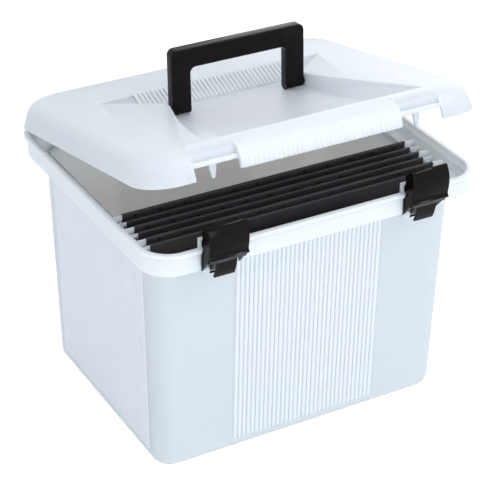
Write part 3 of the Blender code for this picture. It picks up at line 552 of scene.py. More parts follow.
def add_noise(material, shader, scale, stretch, dark, light, bump, rough):
    """Mottled colour, gloss and a faint bump from one noise on Object coordinates."""
    nodes = material.node_tree.nodes
    links = material.node_tree.links
    place = nodes.new("ShaderNodeTexCoord")
    mapping = nodes.new("ShaderNodeMapping")
    mapping.inputs["Scale"].default_value = stretch
    noise = nodes.new("ShaderNodeTexNoise")
    noise.inputs["Scale"].default_value = scale
    noise.inputs["Detail"].default_value = NOISE_DETAIL
    tint = nodes.new("ShaderNodeMix")
    tint.data_type = "RGBA"
    tint.inputs["A"].default_value = dark
    tint.inputs["B"].default_value = light
    gloss = nodes.new("ShaderNodeMapRange")
    gloss.inputs["To Min"].default_value = rough[0]
    gloss.inputs["To Max"].default_value = rough[1]
    grain = nodes.new("ShaderNodeBump")
    grain.inputs["Strength"].default_value = bump
    grain.inputs["Distance"].default_value = GRAIN_DEPTH
    links.new(place.outputs["Object"], mapping.inputs["Vector"])
    links.new(mapping.outputs["Vector"], noise.inputs["Vector"])
    links.new(noise.outputs["Fac"], tint.inputs["Factor"])
    links.new(tint.outputs["Result"], shader.inputs["Base Color"])
    links.new(noise.outputs["Fac"], gloss.inputs["Value"])
    links.new(gloss.outputs["Result"], shader.inputs["Roughness"])
    links.new(noise.outputs["Fac"], grain.inputs["Height"])
    links.new(grain.outputs["Normal"], shader.inputs["Normal"])


def mottled(name, colour, roughness, specular=0.5, **noise):
    material, shader = base_material(name, colour, roughness, specular)
    add_noise(material, shader, **noise)
    return material


def frosted_plastic(name, dark, light, glow):
    material, shader = base_material(name, light, FROST_ROUGHNESS)
    shader.inputs["Subsurface Weight"].default_value = glow
    shader.inputs["Subsurface Radius"].default_value = FROST_RADIUS
    shader.inputs["Subsurface Scale"].default_value = 1.0
    add_noise(material, shader, scale=26.0, stretch=(1.0, 1.0, 0.5), dark=dark, light=light,
              bump=0.04, rough=(0.30, 0.42))
    return material


def black_plastic():
    return mottled("glossy_black_plastic", (0.005, 0.0035, 0.004, 1.0), roughness=0.14, specular=0.12,
                   scale=90.0, stretch=EVEN, dark=(0.004, 0.0025, 0.003, 1.0),
                   light=(0.007, 0.005, 0.0055, 1.0), bump=0.03, rough=(0.11, 0.17))


def card():
    return mottled("black_card_stock", (0.03, 0.025, 0.03, 1.0), roughness=0.55,
                   scale=900.0, stretch=(0.35, 1.0, 1.0), dark=(0.022, 0.018, 0.022, 1.0),
                   light=(0.045, 0.038, 0.044, 1.0), bump=0.35, rough=(0.48, 0.62))


def steel():
    return mottled("dark_steel_rod", (0.006, 0.006, 0.007, 1.0), roughness=0.5,
                   scale=200.0, stretch=(0.1, 1.0, 1.0), dark=(0.004, 0.004, 0.005, 1.0),
                   light=(0.008, 0.008, 0.009, 1.0), bump=0.1, rough=(0.35, 0.5))


def white_coat():
    return mottled("white_coating", (0.88, 0.89, 0.9, 1.0), roughness=0.35,
                   scale=300.0, stretch=EVEN, dark=(0.86, 0.87, 0.88, 1.0),
                   light=(0.91, 0.92, 0.93, 1.0), bump=0.05, rough=(0.3, 0.4))


def tub_rings():
    shelf_top = SHELF_Z + SHELF_THICK
    rim_x = RIM_INNER_HALF_X + RIM_WALL
    rim_y = RIM_INNER_HALF_Y + RIM_WALL
    rim_r = RIM_CORNER + RIM_WALL
    bead_z = RIM_TOP_Z - BEAD_HIGH
    rings = []

    def foot_edge(step, wall, floor):
        radius = BASE_EDGE - wall
        angle = math.radians(90.0 * step / EDGE_STEPS)
        inset = wall + radius * (1 - math.sin(angle))
        rings.append(even_ring(BASE_HALF_X - inset, BASE_HALF_Y - inset, TUB_CORNER - inset,
                               floor + radius * (1 - math.cos(angle))))

    def rim(out, z):
        rings.append(even_ring(rim_x + out, rim_y + out, rim_r + out, z))

    for step in range(EDGE_STEPS + 1):
        foot_edge(step, 0.0, 0.0)
    rings.append(even_ring(MOUTH_HALF_X, MOUTH_HALF_Y, TUB_CORNER, SHELF_Z))
    rim(-EDGE_ROUND, SHELF_Z)
    rim(-EDGE_ROUND * ROUND_CUT, SHELF_Z + EDGE_ROUND * ROUND_CUT)
    rim(0.0, SHELF_Z + EDGE_ROUND)
    rim(0.0, bead_z - BEAD_LEAD)
    for stand, lead in BEAD_SHARES:
        rim(BEAD_OUT * stand, bead_z - BEAD_LEAD * lead)
    rim(BEAD_OUT, bead_z + EDGE_ROUND)
    rim(BEAD_OUT, RIM_TOP_Z - EDGE_ROUND)
    rim(BEAD_OUT - EDGE_ROUND * ROUND_CUT, RIM_TOP_Z - EDGE_ROUND * ROUND_CUT)
    rim(BEAD_OUT - EDGE_ROUND, RIM_TOP_Z)
    inner = RIM_WALL
    rim(-inner + EDGE_ROUND, RIM_TOP_Z)
    rim(-inner + EDGE_ROUND * ROUND_CUT, RIM_TOP_Z - EDGE_ROUND * ROUND_CUT)
    rim(-inner, RIM_TOP_Z - EDGE_ROUND)
    rim(-inner, SEAT_Z)
    rim(-inner - SEAT_LEDGE, SEAT_Z)
    rim(-inner - SEAT_LEDGE, shelf_top + EDGE_ROUND)
    rim(-inner - SEAT_LEDGE - EDGE_ROUND, shelf_top)
    rings.append(even_ring(MOUTH_HALF_X, MOUTH_HALF_Y, TUB_CORNER, shelf_top))
    rings.append(even_ring(MOUTH_HALF_X, MOUTH_HALF_Y, TUB_CORNER, RAIL_TOP_Z))
    rings.append(even_ring(MOUTH_HALF_X - RAIL_THICK, MOUTH_HALF_Y - RAIL_THICK,
                           TUB_CORNER - RAIL_THICK, RAIL_TOP_Z))
    rings.append(even_ring(MOUTH_HALF_X - TUB_WALL, MOUTH_HALF_Y - TUB_WALL, TUB_CORNER - TUB_WALL,
                           SHELF_Z - RAIL_THICK))
    for step in range(EDGE_STEPS, -1, -1):
        foot_edge(step, TUB_WALL, FLOOR_THICK)
    return rings


def station_half():
    return LATCH_HALF + STATION_GAP


def notch_half():
    return station_half() + NOTCH_GAP / 2


def station_cuts():
    bm = bmesh.new()
    outer = RIM_INNER_HALF_Y + RIM_WALL + BEAD_OUT + OVERRUN
    for side in (-1, 1):
        add_block(bm, (side * LATCH_X - station_half(), -outer, SHELF_Z - OVERRUN),
                  (side * LATCH_X + station_half(), -STATION_FACE, RIM_TOP_Z + OVERRUN))
    return bm


def rim_blocks():
    """Latch plates with their nib, lugs under the rim and the ears of the hinge."""
    bm = bmesh.new()
    back = -STATION_FACE + STATION_THICK
    face = -STATION_FACE - EDGE_ROUND / 8
    nib = -STATION_FACE - STATION_NIB
    foot = SHELF_Z + SHELF_THICK / 2
    plate = ((back, foot), (face, foot), (face, NIB_Z - EDGE_ROUND), (nib, NIB_Z), (nib, NIB_Z + EDGE_ROUND),
             (face, RIM_TOP_Z), (face, STATION_TOP_Z), (back, STATION_TOP_Z))
    root = SHELF_Z + SHELF_THICK / 4
    lug = ([(LATCH_PIN_Y - LUG_R, root)] + arc((LATCH_PIN_Y, LATCH_PIN_Z), LUG_R, 180.0, 360.0, ROUND_STEPS)
           + [(LATCH_PIN_Y + LUG_R, root)])
    root_y = RIM_INNER_HALF_Y + RIM_WALL + EDGE_ROUND
    low = RIM_TOP_Z - BEAD_HIGH - BEAD_LEAD
    ear = ([(root_y, low), (root_y + BEAD_OUT, low)]
           + arc((HINGE_Y, HINGE_Z), HINGE_EAR_R, HINGE_EAR_START_DEG, HINGE_EAR_END_DEG, ROUND_STEPS)
           + [(root_y, HINGE_Z)])
    lug_x = LATCH_TONGUE_HALF + LUG_GAP
    ear_x = HINGE_CLIP_HALF + HINGE_EAR_GAP
    half = station_half() - STATION_GAP / 2
    for side in (-1, 1):
        centre = side * LATCH_X
        add_prism(bm, plate, centre - half, centre + half, "X")
        for hand in (-1, 1):
            add_across(bm, lug, centre + hand * lug_x, centre + hand * (lug_x + LUG_THICK))
            middle = side * HINGE_X
            add_across(bm, ear, middle + hand * ear_x, middle + hand * (ear_x + HINGE_EAR_THICK))
    return bm


def rim_pins():
    bm = bmesh.new()
    latch_reach = LATCH_TONGUE_HALF + LUG_GAP + LUG_THICK / 2
    hinge_reach = HINGE_CLIP_HALF + HINGE_EAR_GAP + HINGE_EAR_THICK / 2
    latch_ring = circle((LATCH_PIN_Y, LATCH_PIN_Z), LATCH_PIN_R, PIN_STEPS)
    hinge_ring = circle((HINGE_Y, HINGE_Z), HINGE_PIN_R, PIN_STEPS)
    for side in (-1, 1):
        add_prism(bm, latch_ring, side * LATCH_X - latch_reach, side * LATCH_X + latch_reach, "X")
        add_prism(bm, hinge_ring, side * HINGE_X - hinge_reach, side * HINGE_X + hinge_reach, "X")
    return bm


def make_tub(material, tree):
    tub = new_object("frosted_tub", loft(tub_rings()), material)
    rear_wall = (BASE_HALF_Y, MOUTH_HALF_Y, 1, False, FRONT_RIB_HALF)
    right_wall = (BASE_HALF_X, MOUTH_HALF_X, 1, True, SIDE_RIB_HALF)
    combine(tub, (
        ("DIFFERENCE", station_cuts()),
        ("UNION", rim_blocks()),
        ("UNION", rim_pins()),
        ("UNION", joined_ribs(tree, material, rear_wall)),
        ("UNION", joined_ribs(tree, material, right_wall)),
    ))
    shade(tub)
    fit_out(tub, "tub", "tub_polypropylene", "box_shell")


def rib_loft(places, across, width):
    """One softly rounded rib through places, each a point, the rib's height there and its outward way."""
    levels = []
    for centre, rise, out in places:
        level = []
        for step in range(RIB_CROWN + 1):
            share = step / RIB_CROWN
            swell = math.sin(math.pi * share) ** RIB_CROWN_POWER if 0 < step < RIB_CROWN else 0.0
            level.append(centre + across * lerp(-width / 2, width / 2, share) + out * rise * swell)
        level.append(centre + across * (width / 2) - out * RIB_ROOT)
        level.append(centre - across * (width / 2) - out * RIB_ROOT)
        levels.append(level)
    return loft(levels)


def wall_rib(half_at_base, half_at_mouth, side, faces_x, start):
    """A rib that follows the draft of its wall."""
    out = Vector((side, 0.0, 0.0)) if faces_x else Vector((0.0, side, 0.0))
    across = Vector((0.0, 1.0, 0.0)) if faces_x else Vector((1.0, 0.0, 0.0))
    low_z = BASE_EDGE + RIB_END_GAP
    high_z = SHELF_Z - RIB_END_GAP / 2
    places = []
    for z, rise in ((low_z, RIB_PROUD * RIB_END_SHARE), (low_z + RIB_BASE, RIB_PROUD), (high_z, RIB_PROUD)):
        wall = lerp(half_at_base, half_at_mouth, z / SHELF_Z)
        places.append((out * wall + across * start + Vector((0.0, 0.0, z)), rise, out))
    return rib_loft(places, across, RIB_BASE)


def wall_row(name, tree, material, wall):
    """A row along one wall: its half at the base and mouth, side, whether it faces X, and the row's half."""
    at_base, at_mouth, side, faces_x, half = wall
    steps = int(half / RIB_PITCH)
    rib = new_object(name, wall_rib(at_base, at_mouth, side, faces_x, -steps * RIB_PITCH), material)
    pitch = (0.0, RIB_PITCH, 0.0) if faces_x else (RIB_PITCH, 0.0, 0.0)
    return repeat(rib, tree, 2 * steps + 1, pitch, material)


def joined_ribs(tree, material, wall):
    """A wall's ribs as a mesh to join to the tub, so that light passes through both as one wall."""
    return as_tool(wall_row("joined_ribs", tree, material, wall))


def repeat_tree():
    """Copies of the object's own mesh in an even row, as real geometry."""
    tree = bpy.data.node_groups.new("even_row", "GeometryNodeTree")
    face = tree.interface
    inputs = (("Geometry", "Geometry"), ("Count", "Int"), ("Pitch", "Vector"), ("Finish", "Material"))
    for name, kind in inputs:
        face.new_socket(name, in_out="INPUT", socket_type="NodeSocket" + kind)
    face.new_socket("Geometry", in_out="OUTPUT", socket_type="NodeSocketGeometry")
    nodes, links = tree.nodes, tree.links
    into = nodes.new("NodeGroupInput")
    out = nodes.new("NodeGroupOutput")
    line = nodes.new("GeometryNodeMeshLine")
    line.mode = "OFFSET"
    place = nodes.new("GeometryNodeInstanceOnPoints")
    real = nodes.new("GeometryNodeRealizeInstances")
    finish = nodes.new("GeometryNodeSetMaterial")
    links.new(into.outputs["Count"], line.inputs["Count"])
    links.new(into.outputs["Pitch"], line.inputs["Offset"])
    links.new(line.outputs["Mesh"], place.inputs["Points"])
    links.new(into.outputs["Geometry"], place.inputs["Instance"])
    links.new(place.outputs["Instances"], real.inputs["Geometry"])
    links.new(real.outputs["Geometry"], finish.inputs["Geometry"])
    links.new(into.outputs["Finish"], finish.inputs["Material"])
    links.new(finish.outputs["Geometry"], out.inputs["Geometry"])
    return tree


def repeat(obj, tree, count, pitch, material):
    row = obj.modifiers.new("even_row", "NODES")
    row.node_group = tree
    values = {"Count": count, "Pitch": pitch, "Finish": material}
    for item in tree.interface.items_tree:
        if item.in_out == "INPUT" and item.name in values:
            row[item.identifier] = values[item.name]
    return bake(obj)


def make_wall_ribs(tree, material):
    walls = (
        ("front_ribs", (BASE_HALF_Y, MOUTH_HALF_Y, -1, False, FRONT_RIB_HALF)),
        ("left_ribs", (BASE_HALF_X, MOUTH_HALF_X, -1, True, SIDE_RIB_HALF)),
    )
    for name, wall in walls:
        row = wall_row(name, tree, material, wall)
        shade(row, RIB_SHADE_DEG)
        fit_out(row, "tub", "tub_polypropylene")


def make_lid_ribs(tree, material):
    """Ribs up and over the well's rear wall, and a fine hatch along its floor."""
    floor_z = LID_TOP_Z - WELL_DEPTH
    foot = Vector((0.0, WELL_REAR_Y - WELL_REAR_RUN, floor_z))
    head = Vector((0.0, WELL_REAR_Y, LID_TOP_Z))
    along = (head - foot).normalized()
    slope_out = Vector((0.0, -along.z, along.y))
    up = Vector((0.0, 0.0, 1.0))
    crest_out = (slope_out + up).normalized()
    across = Vector((1.0, 0.0, 0.0))
    front = Vector((0.0, WELL_FRONT_Y + HATCH_FRONT_GAP, floor_z))
    rear = Vector((0.0, foot.y - HATCH_REAR_GAP, floor_z))
    over = head + Vector((0.0, WELL_RIB_REACH, 0.0))
    wall_places = (
        (foot.lerp(head, WELL_RIB_START_SHARE), RIB_END_SHARE, slope_out),
        (foot.lerp(head, 2 * WELL_RIB_START_SHARE), 1.0, slope_out),
        (foot.lerp(head, WELL_RIB_CREST_SHARE), 1.0, slope_out),
        (head, 1.0, crest_out),
        (head.lerp(over, WELL_RIB_CREST_SHARE / 2), 1.0, up),
        (over, RIB_END_SHARE, up),
    )
    floor_places = (
        (front, RIB_END_SHARE, up),
        (front.lerp(rear, RIB_END_SHARE), 1.0, up),
        (rear, 1.0, up),
    )
    rows = (
        ("lid_wall_ribs", wall_places, WELL_RIB_HALF, WELL_RIB_PITCH, WELL_RIB_WIDE, WELL_RIB_PROUD),
        ("lid_floor_hatch", floor_places, HATCH_HALF, HATCH_PITCH, HATCH_WIDE, HATCH_PROUD),
    )
    for name, places, half, pitch, wide, proud in rows:
        steps = int(half / pitch)
        shift = across * (-steps * pitch)
        first = [(point + shift, proud * rise, out) for point, rise, out in places]
        row = new_object(name, rib_loft(first, across, wide), material)
        repeat(row, tree, 2 * steps + 1, (pitch, 0.0, 0.0), material)
        turn(row, (0.0, HINGE_Y, HINGE_Z), -LID_AJAR_DEG)
        shade(row, RIB_SHADE_DEG)
        fit_out(row, "lid", "lid_polypropylene")


def lid_level(share):
    """Slope and corner shares at a height share, on straight lines between the chosen levels."""
    for index in range(len(LID_LEVEL_SHARES) - 1):
        low, high = LID_LEVEL_SHARES[index], LID_LEVEL_SHARES[index + 1]
        if share <= high[0]:
            part = (share - low[0]) / (high[0] - low[0])
            return lerp(low[1], high[1], part), lerp(low[2], high[2], part)
    return LID_LEVEL_SHARES[-1][1:]


def lid_ring(slope_share, corner_share, inset, z):
    half_x = LID_HALF_X - LID_SIDE_SLOPE * slope_share - inset
    front = -LID_HALF_Y + LID_FRONT_SLOPE * slope_share + inset
    rear = LID_HALF_Y - LID_REAR_SLOPE * slope_share - inset
    radius = LID_CORNER - LID_CORNER_LOSS * corner_share - inset
    return ring(half_x, front, rear, radius, z)


def lid_profile():
    """(height share, slope share, corner share) down a rounded shoulder."""
    heights = [level[:2] for level in LID_LEVEL_SHARES]
    path = smooth_path(heights, LID_CURVE_PARTS)
    return [(min(point[0], 1.0), point[1], lid_level(min(point[0], 1.0))[1]) for point in path]


def lid_front(z):
    share = (z - LID_BASE_Z) / LID_HEIGHT
    return -LID_HALF_Y + LID_FRONT_SLOPE * lid_level(min(max(share, 0.0), 1.0))[0]


def well_outline(front, rear, end_half, grow, z):
    """A waisted outline that flares from the handle towards both ends."""
    points = []
    for sign in (1, -1):
        for step in range(-WELL_STEPS, WELL_STEPS + 1):
            share = sign * step / WELL_STEPS
            end = rear if share > 0 else front
            y = lerp(HANDLE_Y, end, abs(share))
            half = lerp(WELL_WAIST_HALF, end_half, abs(share) ** WELL_FLARE_POWER)
            y += math.copysign(grow, share) * abs(share) ** WELL_END_POWER
            points.append(Vector((sign * (half + grow), y, z)))
    return points


def well_bm(grow, drop, rounded):
    """The well's hollow with a rounded brink, or the skin round it."""
    floor_z = LID_TOP_Z - WELL_DEPTH - drop
    wide = grow + WELL_DRAFT
    top = LID_TOP_Z - drop - (WELL_ROUND if rounded else 0.0)
    rings = []
    for level in range(WELL_LEVELS + 1):
        share = level / WELL_LEVELS
        rings.append(well_outline(
            lerp(WELL_FRONT_Y + WELL_FRONT_RUN, WELL_FRONT_Y, share),
            lerp(WELL_REAR_Y - WELL_REAR_RUN, WELL_REAR_Y, share),
            lerp(WELL_FLOOR_END_HALF, WELL_END_HALF, share), lerp(grow, wide, share),
            lerp(floor_z, top, share)))
    if rounded:
        for step in range(1, WELL_ROUND_STEPS + 1):
            angle = math.radians(90.0 * step / WELL_ROUND_STEPS)
            wide = grow + WELL_DRAFT + WELL_ROUND * (1 - math.cos(angle))
            z = top + WELL_ROUND * math.sin(angle)
            rings.append(well_outline(WELL_FRONT_Y, WELL_REAR_Y, WELL_END_HALF, wide, z))
    rings.append(well_outline(WELL_FRONT_Y, WELL_REAR_Y, WELL_END_HALF, wide, LID_TOP_Z + OVERRUN))
    return loft(rings)


def lid_cavity():
    profile = lid_profile()
    rings = [lid_ring(profile[0][1], profile[0][2], LID_WALL, LID_BASE_Z - OVERRUN)]
    rings += [lid_ring(slope, corner, LID_WALL, LID_BASE_Z + (LID_HEIGHT - LID_WALL) * height)
              for height, slope, corner in profile]
    cavity = new_object("cavity", loft(rings))
    return as_tool(combine(cavity, (("DIFFERENCE", well_bm(LID_WALL, LID_WALL, False)),)))


def lip_foot():
    """The catch ledge's underside; its top lies just below the latch's hook."""
    return LATCH_PIN_Z + LATCH_HIGH * HOOK_UP_SHARE - LATCH_SKIN / 2 - CATCH_CLEAR - LIP_CATCH


def skirt_notch():
    """The front skirt is cut away round each latch and lifted between them for the fingers."""
    low = LID_BASE_Z - OVERRUN
    roof = LID_TOP_Z - NOTCH_ROOF
    lift = LID_BASE_Z + GRIP_LIFT
    far = LATCH_X + notch_half()
    near = LATCH_X - notch_half()
    outline = ((-far, low), (-far, roof), (-near, roof), (-near, lift), (near, lift), (near, roof),
               (far, roof), (far, low))
    return prism(outline, -LID_HALF_Y - OVERRUN, -STATION_FACE + NOTCH_DEEP, "Y")


def brow_outline(proud):
    """The rounded brow that stands in front of the sloping lid front."""
    height = LID_HEIGHT - GRIP_LIFT
    face = []
    for drop, swell, ribbed in BROW_SHARES:
        z = LID_TOP_Z - height * drop
        face.append((lid_front(z) - GRIP_PROUD * swell - proud * ribbed, z))
    back = []
    for drop in BROW_BACK_SHARES:
        z = LID_TOP_Z - height * drop
        back.append((lid_front(z) + LID_WALL / 2, z))
    return [tuple(point) for point in smooth_path(face, BROW_CURVE_PARTS)] + back


def grip_bm():
    end = LATCH_X - notch_half() - GRIP_END_GAP
    places = [(-end, 0.0)]
    first = -GRIP_RIB_PITCH * (GRIP_RIB_COUNT - 1) / 2
    for index in range(GRIP_RIB_COUNT):
        centre = first + GRIP_RIB_PITCH * index
        for part in range(GRIP_RIB_STEPS):
            share = part / GRIP_RIB_STEPS
            rise = math.sin(math.pi * share) ** 2
            places.append((centre + GRIP_RIB_PITCH * (share - 0.5), GRIP_RIB_PROUD * rise))
    places.append((end, 0.0))
    rings = []
    for x, proud in places:
        rings.append([Vector((x, point[0], point[1])) for point in brow_outline(proud)])
    return loft(rings)


def lips_bm():
    """A wall that bends down from the lid's crest, with the catch ledge along its foot."""
    foot = lip_foot()
    face_y = -STATION_FACE + LIP_SET_BACK + LIP_THICK / 2
    crest_y = LID_FRONT_SLOPE - LID_HALF_Y
    crest_z = LID_TOP_Z - LIP_THICK / 2 - FACE_LAP
    bend_z = foot + LIP_CATCH + LIP_BEND
    path = []
    for step in range(ROUND_STEPS // 2 + 1):
        angle = math.radians(180.0 * step / ROUND_STEPS)
        path.append((lerp(crest_y, face_y, math.sin(angle)), lerp(bend_z, crest_z, math.cos(angle))))
    path.append((face_y, foot))
    wall = band(path, LIP_THICK)
    catch_y = -STATION_FACE - LIP_CATCH_OUT
    catch_z = foot + LIP_CATCH
    ledge = [(catch_y, foot), (catch_y, catch_z), (face_y - LIP_THICK / 2, catch_z)]
    outline = wall[:len(path)] + ledge + wall[len(path) + 1:]
    half = notch_half() + EDGE_ROUND
    return both_sides(outline, LATCH_X - half, LATCH_X + half)


def fins_bm():
    """A tapered tooth hangs behind each lip and guides the lid down inside the latch plate."""
    bm = bmesh.new()
    foot = lip_foot()
    front = -STATION_FACE + STATION_THICK + STATION_GAP
    root = foot + LIP_CATCH / 2
    for side in (-1, 1):
        middle = side * LATCH_X
        fin = ((middle - FIN_TOP_HALF, root), (middle - FIN_TIP_HALF, foot - FIN_DROP),
               (middle + FIN_TIP_HALF, foot - FIN_DROP), (middle + FIN_TOP_HALF, root))
        add_prism(bm, fin, front, front + FIN_THICK, "Y")
    return bm


def clips_bm():
    """Arms that leave the lid's rear wall and wrap over and round the hinge pins."""
    radius = HINGE_PIN_R + HINGE_CLEAR + HINGE_CLIP_THICK / 2
    start = (LID_HALF_Y - HINGE_CLIP_ROOT, HINGE_Z + radius)
    around = arc((HINGE_Y, HINGE_Z), radius, CLIP_START_DEG, CLIP_START_DEG - CLIP_SWEEP_DEG, ROUND_STEPS)
    clip = band([start] + around, HINGE_CLIP_THICK)
    return both_sides(clip, HINGE_X - HINGE_CLIP_HALF, HINGE_X + HINGE_CLIP_HALF)


def handle_z():
    return LID_TOP_Z - WELL_DEPTH + HANDLE_FLOOR_GAP + HANDLE_THICK / 2


def pivot_hole():
    hole = circle((HANDLE_Y, handle_z()), HANDLE_PIN_R + HANDLE_PIN_CLEAR, PIVOT_HOLE_STEPS)
    reach = WELL_WAIST_HALF + 3 * LID_WALL
    return prism(hole, -reach, reach)


def make_lid(material):
    rings = [lid_ring(slope, corner, 0.0, LID_BASE_Z + LID_HEIGHT * height)
             for height, slope, corner in lid_profile()]
    lid = new_object("frosted_lid", loft(rings), material)
    combine(lid, (
        ("DIFFERENCE", lid_cavity()),
        ("DIFFERENCE", skirt_notch()),
        ("UNION", grip_bm()),
        ("UNION", lips_bm()),
        ("UNION", fins_bm()),
        ("UNION", clips_bm()),
        ("DIFFERENCE", well_bm(0.0, 0.0, True)),
        ("DIFFERENCE", pivot_hole()),
    ))
    turn(lid, (0.0, HINGE_Y, HINGE_Z), -LID_AJAR_DEG)
    shade(lid)
    fit_out(lid, "lid", "lid_polypropylene", "lid_shell")


def handle_outline():
    top = HANDLE_HEIGHT
    foot = -HANDLE_EDGE
    inner = HANDLE_HALF - HANDLE_LEG
    bar = top - HANDLE_BAR
    outer_r, inner_r = HANDLE_OUTER_R, HANDLE_INNER_R
    steps = HANDLE_CORNER_STEPS
    points = arc((HANDLE_HALF - outer_r, top - outer_r), outer_r, 0.0, 90.0, steps)
    points += arc((-HANDLE_HALF + outer_r, top - outer_r), outer_r, 90.0, 180.0, steps)
    points += [(-HANDLE_HALF, foot), (-inner, foot)]
    points += arc((-inner + inner_r, bar - inner_r), inner_r, 180.0, 90.0, steps)
    points += arc((inner - inner_r, bar - inner_r), inner_r, 90.0, 0.0, steps)
    points += [(inner, foot), (HANDLE_HALF, foot)]
    return points


def knuckles_bm():
    """The legs end in round knuckles, so that they clear the floor of the well as they swing."""
    round_end = circle((0.0, 0.0), HANDLE_THICK / 2 - KNUCKLE_INSET, 2 * ROUND_STEPS)
    return both_sides(round_end, HANDLE_HALF - HANDLE_LEG + KNUCKLE_INSET, HANDLE_HALF - KNUCKLE_INSET)


def handle_pins_bm():
    end = circle((0.0, 0.0), HANDLE_PIN_R, ROUND_STEPS)
    return both_sides(end, HANDLE_HALF - HANDLE_LEG / 2, HANDLE_HALF + HANDLE_PIN_LONG)


def make_handle(material):
    blank = prism(handle_outline(), -HANDLE_THICK / 2, HANDLE_THICK / 2, "Y")
    handle = new_object("black_handle", blank, material)
    soften(handle, HANDLE_EDGE, HANDLE_EDGE_STEPS, EDGE_ANGLE_DEG)
    combine(handle, (("UNION", knuckles_bm()), ("UNION", handle_pins_bm())))
    turn(handle, (0.0, 0.0, 0.0), HANDLE_LEAN_DEG)
    handle.data.transform(Matrix.Translation((0.0, HANDLE_Y, handle_z())))
    turn(handle, (0.0, HINGE_Y, HINGE_Z), -LID_AJAR_DEG)
    shade(handle)
    fit_out(handle, "handle", "black_plastic", "handle")


def latch_points(shares):
    return [(-LATCH_DEEP * out, LATCH_HIGH * up) for out, up in shares]


def latch_sheet(shares, thickness, half, parts=0):
    """A strip of the latch of even thickness, across its width, on a soft curve if parts are given."""
    path = latch_points(shares)
    if parts:
        path = smooth_path(path, parts)
    return prism(band(path, thickness), -half, half)


def latch_cheeks():
    return both_sides(latch_points(CHEEK_SHARES), LATCH_HALF - LATCH_CHEEK, LATCH_HALF)


def latch_barrel():
    """A C of plastic that snaps round the moulded pin under the rim."""
    radius = LATCH_PIN_R + LATCH_PIN_CLEAR + LATCH_BARREL_WALL / 2
    wrap = arc((0.0, 0.0), radius, LATCH_BARREL_START_DEG, LATCH_BARREL_END_DEG, ROUND_STEPS)
    reach = LATCH_TONGUE_HALF - LATCH_SIDE_INSET
    return prism(band(wrap, LATCH_BARREL_WALL), -reach, reach)


def latch_bore():
    hole = circle((0.0, 0.0), LATCH_PIN_R + LATCH_PIN_CLEAR, ROUND_STEPS)
    reach = LATCH_TONGUE_HALF + OVERRUN
    return prism(hole, -reach, reach)


def make_latch(name, centre, material, node):
    """A moulded clip: curved skin, two cheeks, a hooked web, a thumb tab and a barrel on its pin."""
    skin = latch_sheet(SKIN_SHARES, LATCH_SKIN, LATCH_HALF - LATCH_SIDE_INSET, LATCH_CURVE_PARTS)
    latch = new_object(name, skin, material)
    soften(latch, LATCH_EDGE, LATCH_EDGE_STEPS, LATCH_EDGE_ANGLE_DEG)
    inner = LATCH_HALF - LATCH_CHEEK / 2
    combine(latch, (
        ("UNION", latch_cheeks()),
        ("UNION", latch_sheet(WEB_SHARES, LATCH_SKIN, inner)),
        ("UNION", latch_sheet(TONGUE_SHARES[:2], LATCH_SKIN, inner)),
        ("UNION", latch_sheet(TONGUE_SHARES[1:], LATCH_SKIN, LATCH_TONGUE_HALF)),
        ("UNION", latch_sheet(TAB_SHARES, LATCH_TAB_THICK, LATCH_TAB_HALF, LATCH_CURVE_PARTS)),
        ("UNION", latch_barrel()),
        ("DIFFERENCE", latch_bore()),
    ))
    latch.data.transform(Matrix.Translation((centre, LATCH_PIN_Y, LATCH_PIN_Z)))
    shade(latch)
    fit_out(latch, node, "black_plastic", node)


def hem_path(y, top, side):
    """Up the outside flap, over the rod in a small round fold."""
    gap = (ROD_THICK + 2 * ROD_CLEAR + FOLDER_CARD) / 2
    foot = top - FOLDER_HEM_DROP
    upper = top - FOLDER_CARD / 2
    start = 0.0 if side > 0 else 180.0
    fold = arc((y, upper - gap), gap, start, 180.0 - start, FOLD_STEPS)
    return [(y + side * gap, foot)] + fold


def folder_path(front_y, rear_y):
    gap = (ROD_THICK + 2 * ROD_CLEAR + FOLDER_CARD) / 2
    middle = (front_y + rear_y) / 2
    foot = [(middle - FOLDER_FOOT_GAP / 2, FOLDER_FOOT_Z), (middle + FOLDER_FOOT_GAP / 2, FOLDER_FOOT_Z)]
    front = hem_path(front_y, FOLDER_FRONT_TOP_Z, -1)
    rear = hem_path(rear_y, FOLDER_REAR_TOP_Z, 1)
    inner_front = [(front_y + gap, FOLDER_FRONT_TOP_Z - FOLDER_HEM_DROP)]
    inner_rear = [(rear_y - gap, FOLDER_REAR_TOP_Z - FOLDER_HEM_DROP)]
    return front + inner_front + foot + inner_rear + rear[::-1]


def slot_cuts(rear_y):
    """A row of tab slots through the front layer of the rear hem, below the rod's fold."""
    bm = bmesh.new()
    top = FOLDER_REAR_TOP_Z - SLOT_DOWN
    near = rear_y - ROD_THICK / 2 - ROD_CLEAR / 2
    for index in range(SLOT_COUNT):
        x = lerp(-FOLDER_HALF, FOLDER_HALF, (index + 0.5) / SLOT_COUNT)
        low = (x - SLOT_WIDE / 2, near - FOLDER_CARD - ROD_CLEAR, top - SLOT_HIGH)
        add_block(bm, low, (x + SLOT_WIDE / 2, near, top))
    return bm


def make_folder(name, front_y, rear_y, material):
    bm = prism(band(folder_path(front_y, rear_y), FOLDER_CARD), -FOLDER_HALF, FOLDER_HALF)
    hem_foot = FOLDER_FRONT_TOP_Z - FOLDER_HEM_DROP
    for vert in bm.verts:
        if vert.co.z < hem_foot - FOLDER_TAPER_DROP:
            vert.co.x = math.copysign(FOLDER_FOOT_HALF, vert.co.x)
    sheet = new_object(name + "_sheet", bm, material)
    combine(sheet, (("DIFFERENCE", slot_cuts(rear_y)),))
    shade(sheet)
    fit_out(sheet, name, "black_card", name + "_card")


